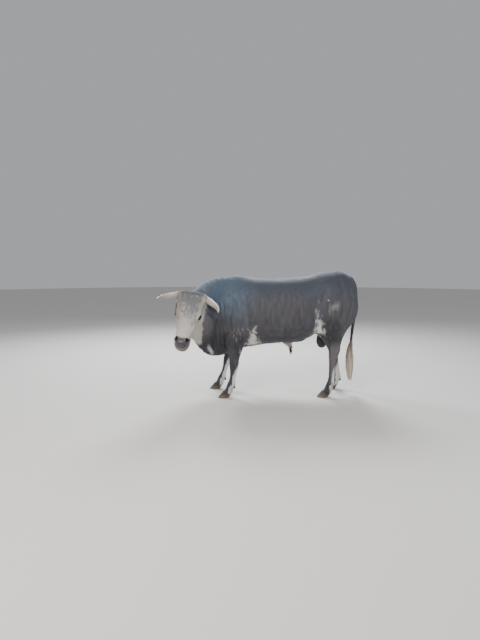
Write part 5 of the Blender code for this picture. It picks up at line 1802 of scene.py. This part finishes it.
foot_batches = []
for what, density, direction, length, width, lift, droop in (
        ("coronets", 90000 * coronet_band, (0.0, 0.0, -1.0), 0.014, 0.0020, 0.24, 0.0),
        ("fetlocks", 45000 * behind, (0.35, 0.0, -1.0), 0.021, 0.0020, 0.28, 0.2)):
    chosen, shares = sow(skin_points, skin_triangles, density)
    roots = at_roots(skin_points, chosen, shares)
    normals = unit(at_roots(skin_normals, chosen, shares))
    flow = np.tile(direction, (len(roots), 1))
    batch = bent_tufts(roots, normals, flow, length, width, lift, droop, 0.04)
    foot_batches.append((batch, coat_look(roots, normals)))
    print(what, "tufts:", len(roots))
lay_hair("hair_feet", foot_batches, FEET_REGION)

under_batches = []
for what, density, direction, length, width, lift, droop in (
        ("under neck", 17000 * under_neck * (1 - in_head), (0.6, 0.1, -0.8), 0.024, 0.0021, 0.18, 0.22),
        ("belly", 9000 * belly_line, (1.0, 0.0, -0.1), 0.028, 0.0024, 0.20, 0.25),
        ("sheath", 110000 * at_sheath, (0.15, 0.0, -1.0), 0.050, 0.0022, 0.35, 0.8)):
    roots, normals, _ = sow_on_skin(density)
    flow = np.tile(direction, (len(roots), 1))
    batch = bent_tufts(roots, normals, flow, length, width, lift, droop, 0.06)
    look = plain_look(len(roots), NEARLY_BLACK, 0.15) if what == "sheath" else coat_look(roots, normals)
    under_batches.append((batch, look))
    print(what, "tufts:", len(roots))
lay_hair("hair_under", under_batches, TRUNK_REGION)

# %% [markdown]
# ## The switch of the tail
# The switch is the brush of long hair at the end of the tail. The flat locks of the solids give its
# length and spread. Here it is parted into many fine locks: each starts on the end of the tail, swells
# out as far as the solids do at that height, and they end at different heights, loosely.

# %% Locks of the switch
SWITCH_LOCKS = 2600
SWITCH_RINGS = 7
SWITCH_BINS = 9
ON_TAIL = 0.11
LOOSE_END = 0.62
TAIL_END_RADIUS = 0.011
DRY_BROWN = np.array(linear(172, 153, 130)[:3])
LOCK_TAPER = np.array([0.8, 1.0, 1.0, 0.95, 0.85, 0.7, 0.45])
SWITCH_CREAM = np.array(linear(220, 208, 190)[:3])

switch_points = points_of(frame["nodes"]["tail_switch"].data)
switch_low, switch_top = switch_points[:, 2].min(), switch_points[:, 2].max()
levels = np.linspace(switch_low, switch_top, SWITCH_BINS)
half_bin = (switch_top - switch_low) / (SWITCH_BINS - 1)
centres, spreads = [], []
for level in levels:
    near = switch_points[np.abs(switch_points[:, 2] - level) <= half_bin]
    centre = (near[:, :2].min(axis=0) + near[:, :2].max(axis=0)) / 2
    centres.append(centre)
    spreads.append(np.percentile(np.linalg.norm(near[:, :2] - centre, axis=1), 85))
tail_points = points_of(frame["nodes"]["tail"].data)
for rise in (0.03, 0.07, 0.11):
    near = tail_points[np.abs(tail_points[:, 2] - switch_top - rise) < 0.03]
    levels = np.append(levels, switch_top + rise)
    centres.append((near[:, :2].min(axis=0) + near[:, :2].max(axis=0)) / 2)
    spreads.append(TAIL_END_RADIUS + 0.003)
centres[-4] = centres[-3]
centres, spreads = np.array(centres), np.array(spreads)
widest = spreads.argmax()
spreads[:widest] = np.maximum(spreads[:widest], LOOSE_END * spreads[widest])
print(f"switch from {switch_low:.3f} to {switch_top:.3f}, widest {spreads.max():.3f}")

turn = rng.uniform(0, 2 * math.pi, SWITCH_LOCKS)
reach_out = np.sqrt(rng.uniform(0.02, 1.0, SWITCH_LOCKS))
reach_out *= np.where(rng.uniform(0, 1, SWITCH_LOCKS) < 0.10, 1.15, 0.95)
wave_start = rng.uniform(0, 2 * math.pi, SWITCH_LOCKS)
wave_size = rng.uniform(0.2, 1.0, SWITCH_LOCKS) ** 2
start = switch_top + ON_TAIL * rng.uniform(-1.0, 0.75, SWITCH_LOCKS)
end = switch_low + (switch_top - switch_low) * 0.72 * rng.uniform(0, 1, SWITCH_LOCKS) ** 1.35
clump = wander(np.column_stack([turn * 0.5, reach_out, turn * 0]), 0.35, 61)
lock_lines = []
for share in np.linspace(0, 1, SWITCH_RINGS + 1):
    z = start + (end - start) * share
    spread = np.interp(z, levels, spreads)
    inner = np.array([np.interp(z, levels, centres[:, axis]) for axis in (0, 1)]).T
    swell = smooth(0.0, 0.40, np.full(SWITCH_LOCKS, share)) * smooth(1.5, 0.7, np.full(SWITCH_LOCKS, share))
    radius = TAIL_END_RADIUS + (spread * reach_out - TAIL_END_RADIUS) * swell
    angle = turn + 0.45 * clump * share + 0.12 * np.sin(share * 7 + 5 * reach_out + turn)
    ripple = 0.0060 * wave_size * np.sin(share * 9 + wave_start) * share
    sideways = 0.0090 * wave_size * np.sin(share * 7 + 2 * wave_start) * share
    outwards = np.column_stack([np.cos(angle), np.sin(angle)])
    tangent = outwards[:, ::-1] * np.array((-1, 1))
    across = outwards * (radius + ripple)[:, None] + tangent * sideways[:, None]
    lock_lines.append(np.column_stack([inner + across, z]))
lock_lines = np.stack(lock_lines, axis=1)
outward = np.column_stack([np.cos(turn), np.sin(turn), np.zeros(SWITCH_LOCKS)])
beside = np.column_stack([-np.sin(turn), np.cos(turn), np.zeros(SWITCH_LOCKS)])
lock_widths = rng.uniform(0.0014, 0.0034, SWITCH_LOCKS)[:, None] * LOCK_TAPER
brown_share = rng.uniform(0, 1, SWITCH_LOCKS) ** 1.5
lock_colour = mixed(np.tile(SWITCH_CREAM, (SWITCH_LOCKS, 1)), DRY_BROWN, brown_share)
lock_colour = mixed(lock_colour, BROWN, 0.60 * smooth(switch_top - 0.02, switch_top + 0.06, start))
# Painted shade: locks near the middle of the switch are darker, those on its outside lighter.
lock_colour = np.clip(lock_colour * (0.80 + 0.26 * reach_out)[:, None], 0, 1)
nothing = np.zeros((SWITCH_LOCKS, 3))
switch_batch = {"lines": lock_lines, "sides": beside, "tops": outward, "widths": lock_widths,
                "thick": lock_widths * 0.45}
switch_look = {"ground": lock_colour, "pale": lock_colour, "marks": nothing, "bare": nothing}
switch = lay_hair("tail_switch_hair", [(switch_batch, switch_look)], TAIL_REGION)
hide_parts("tail_switch")
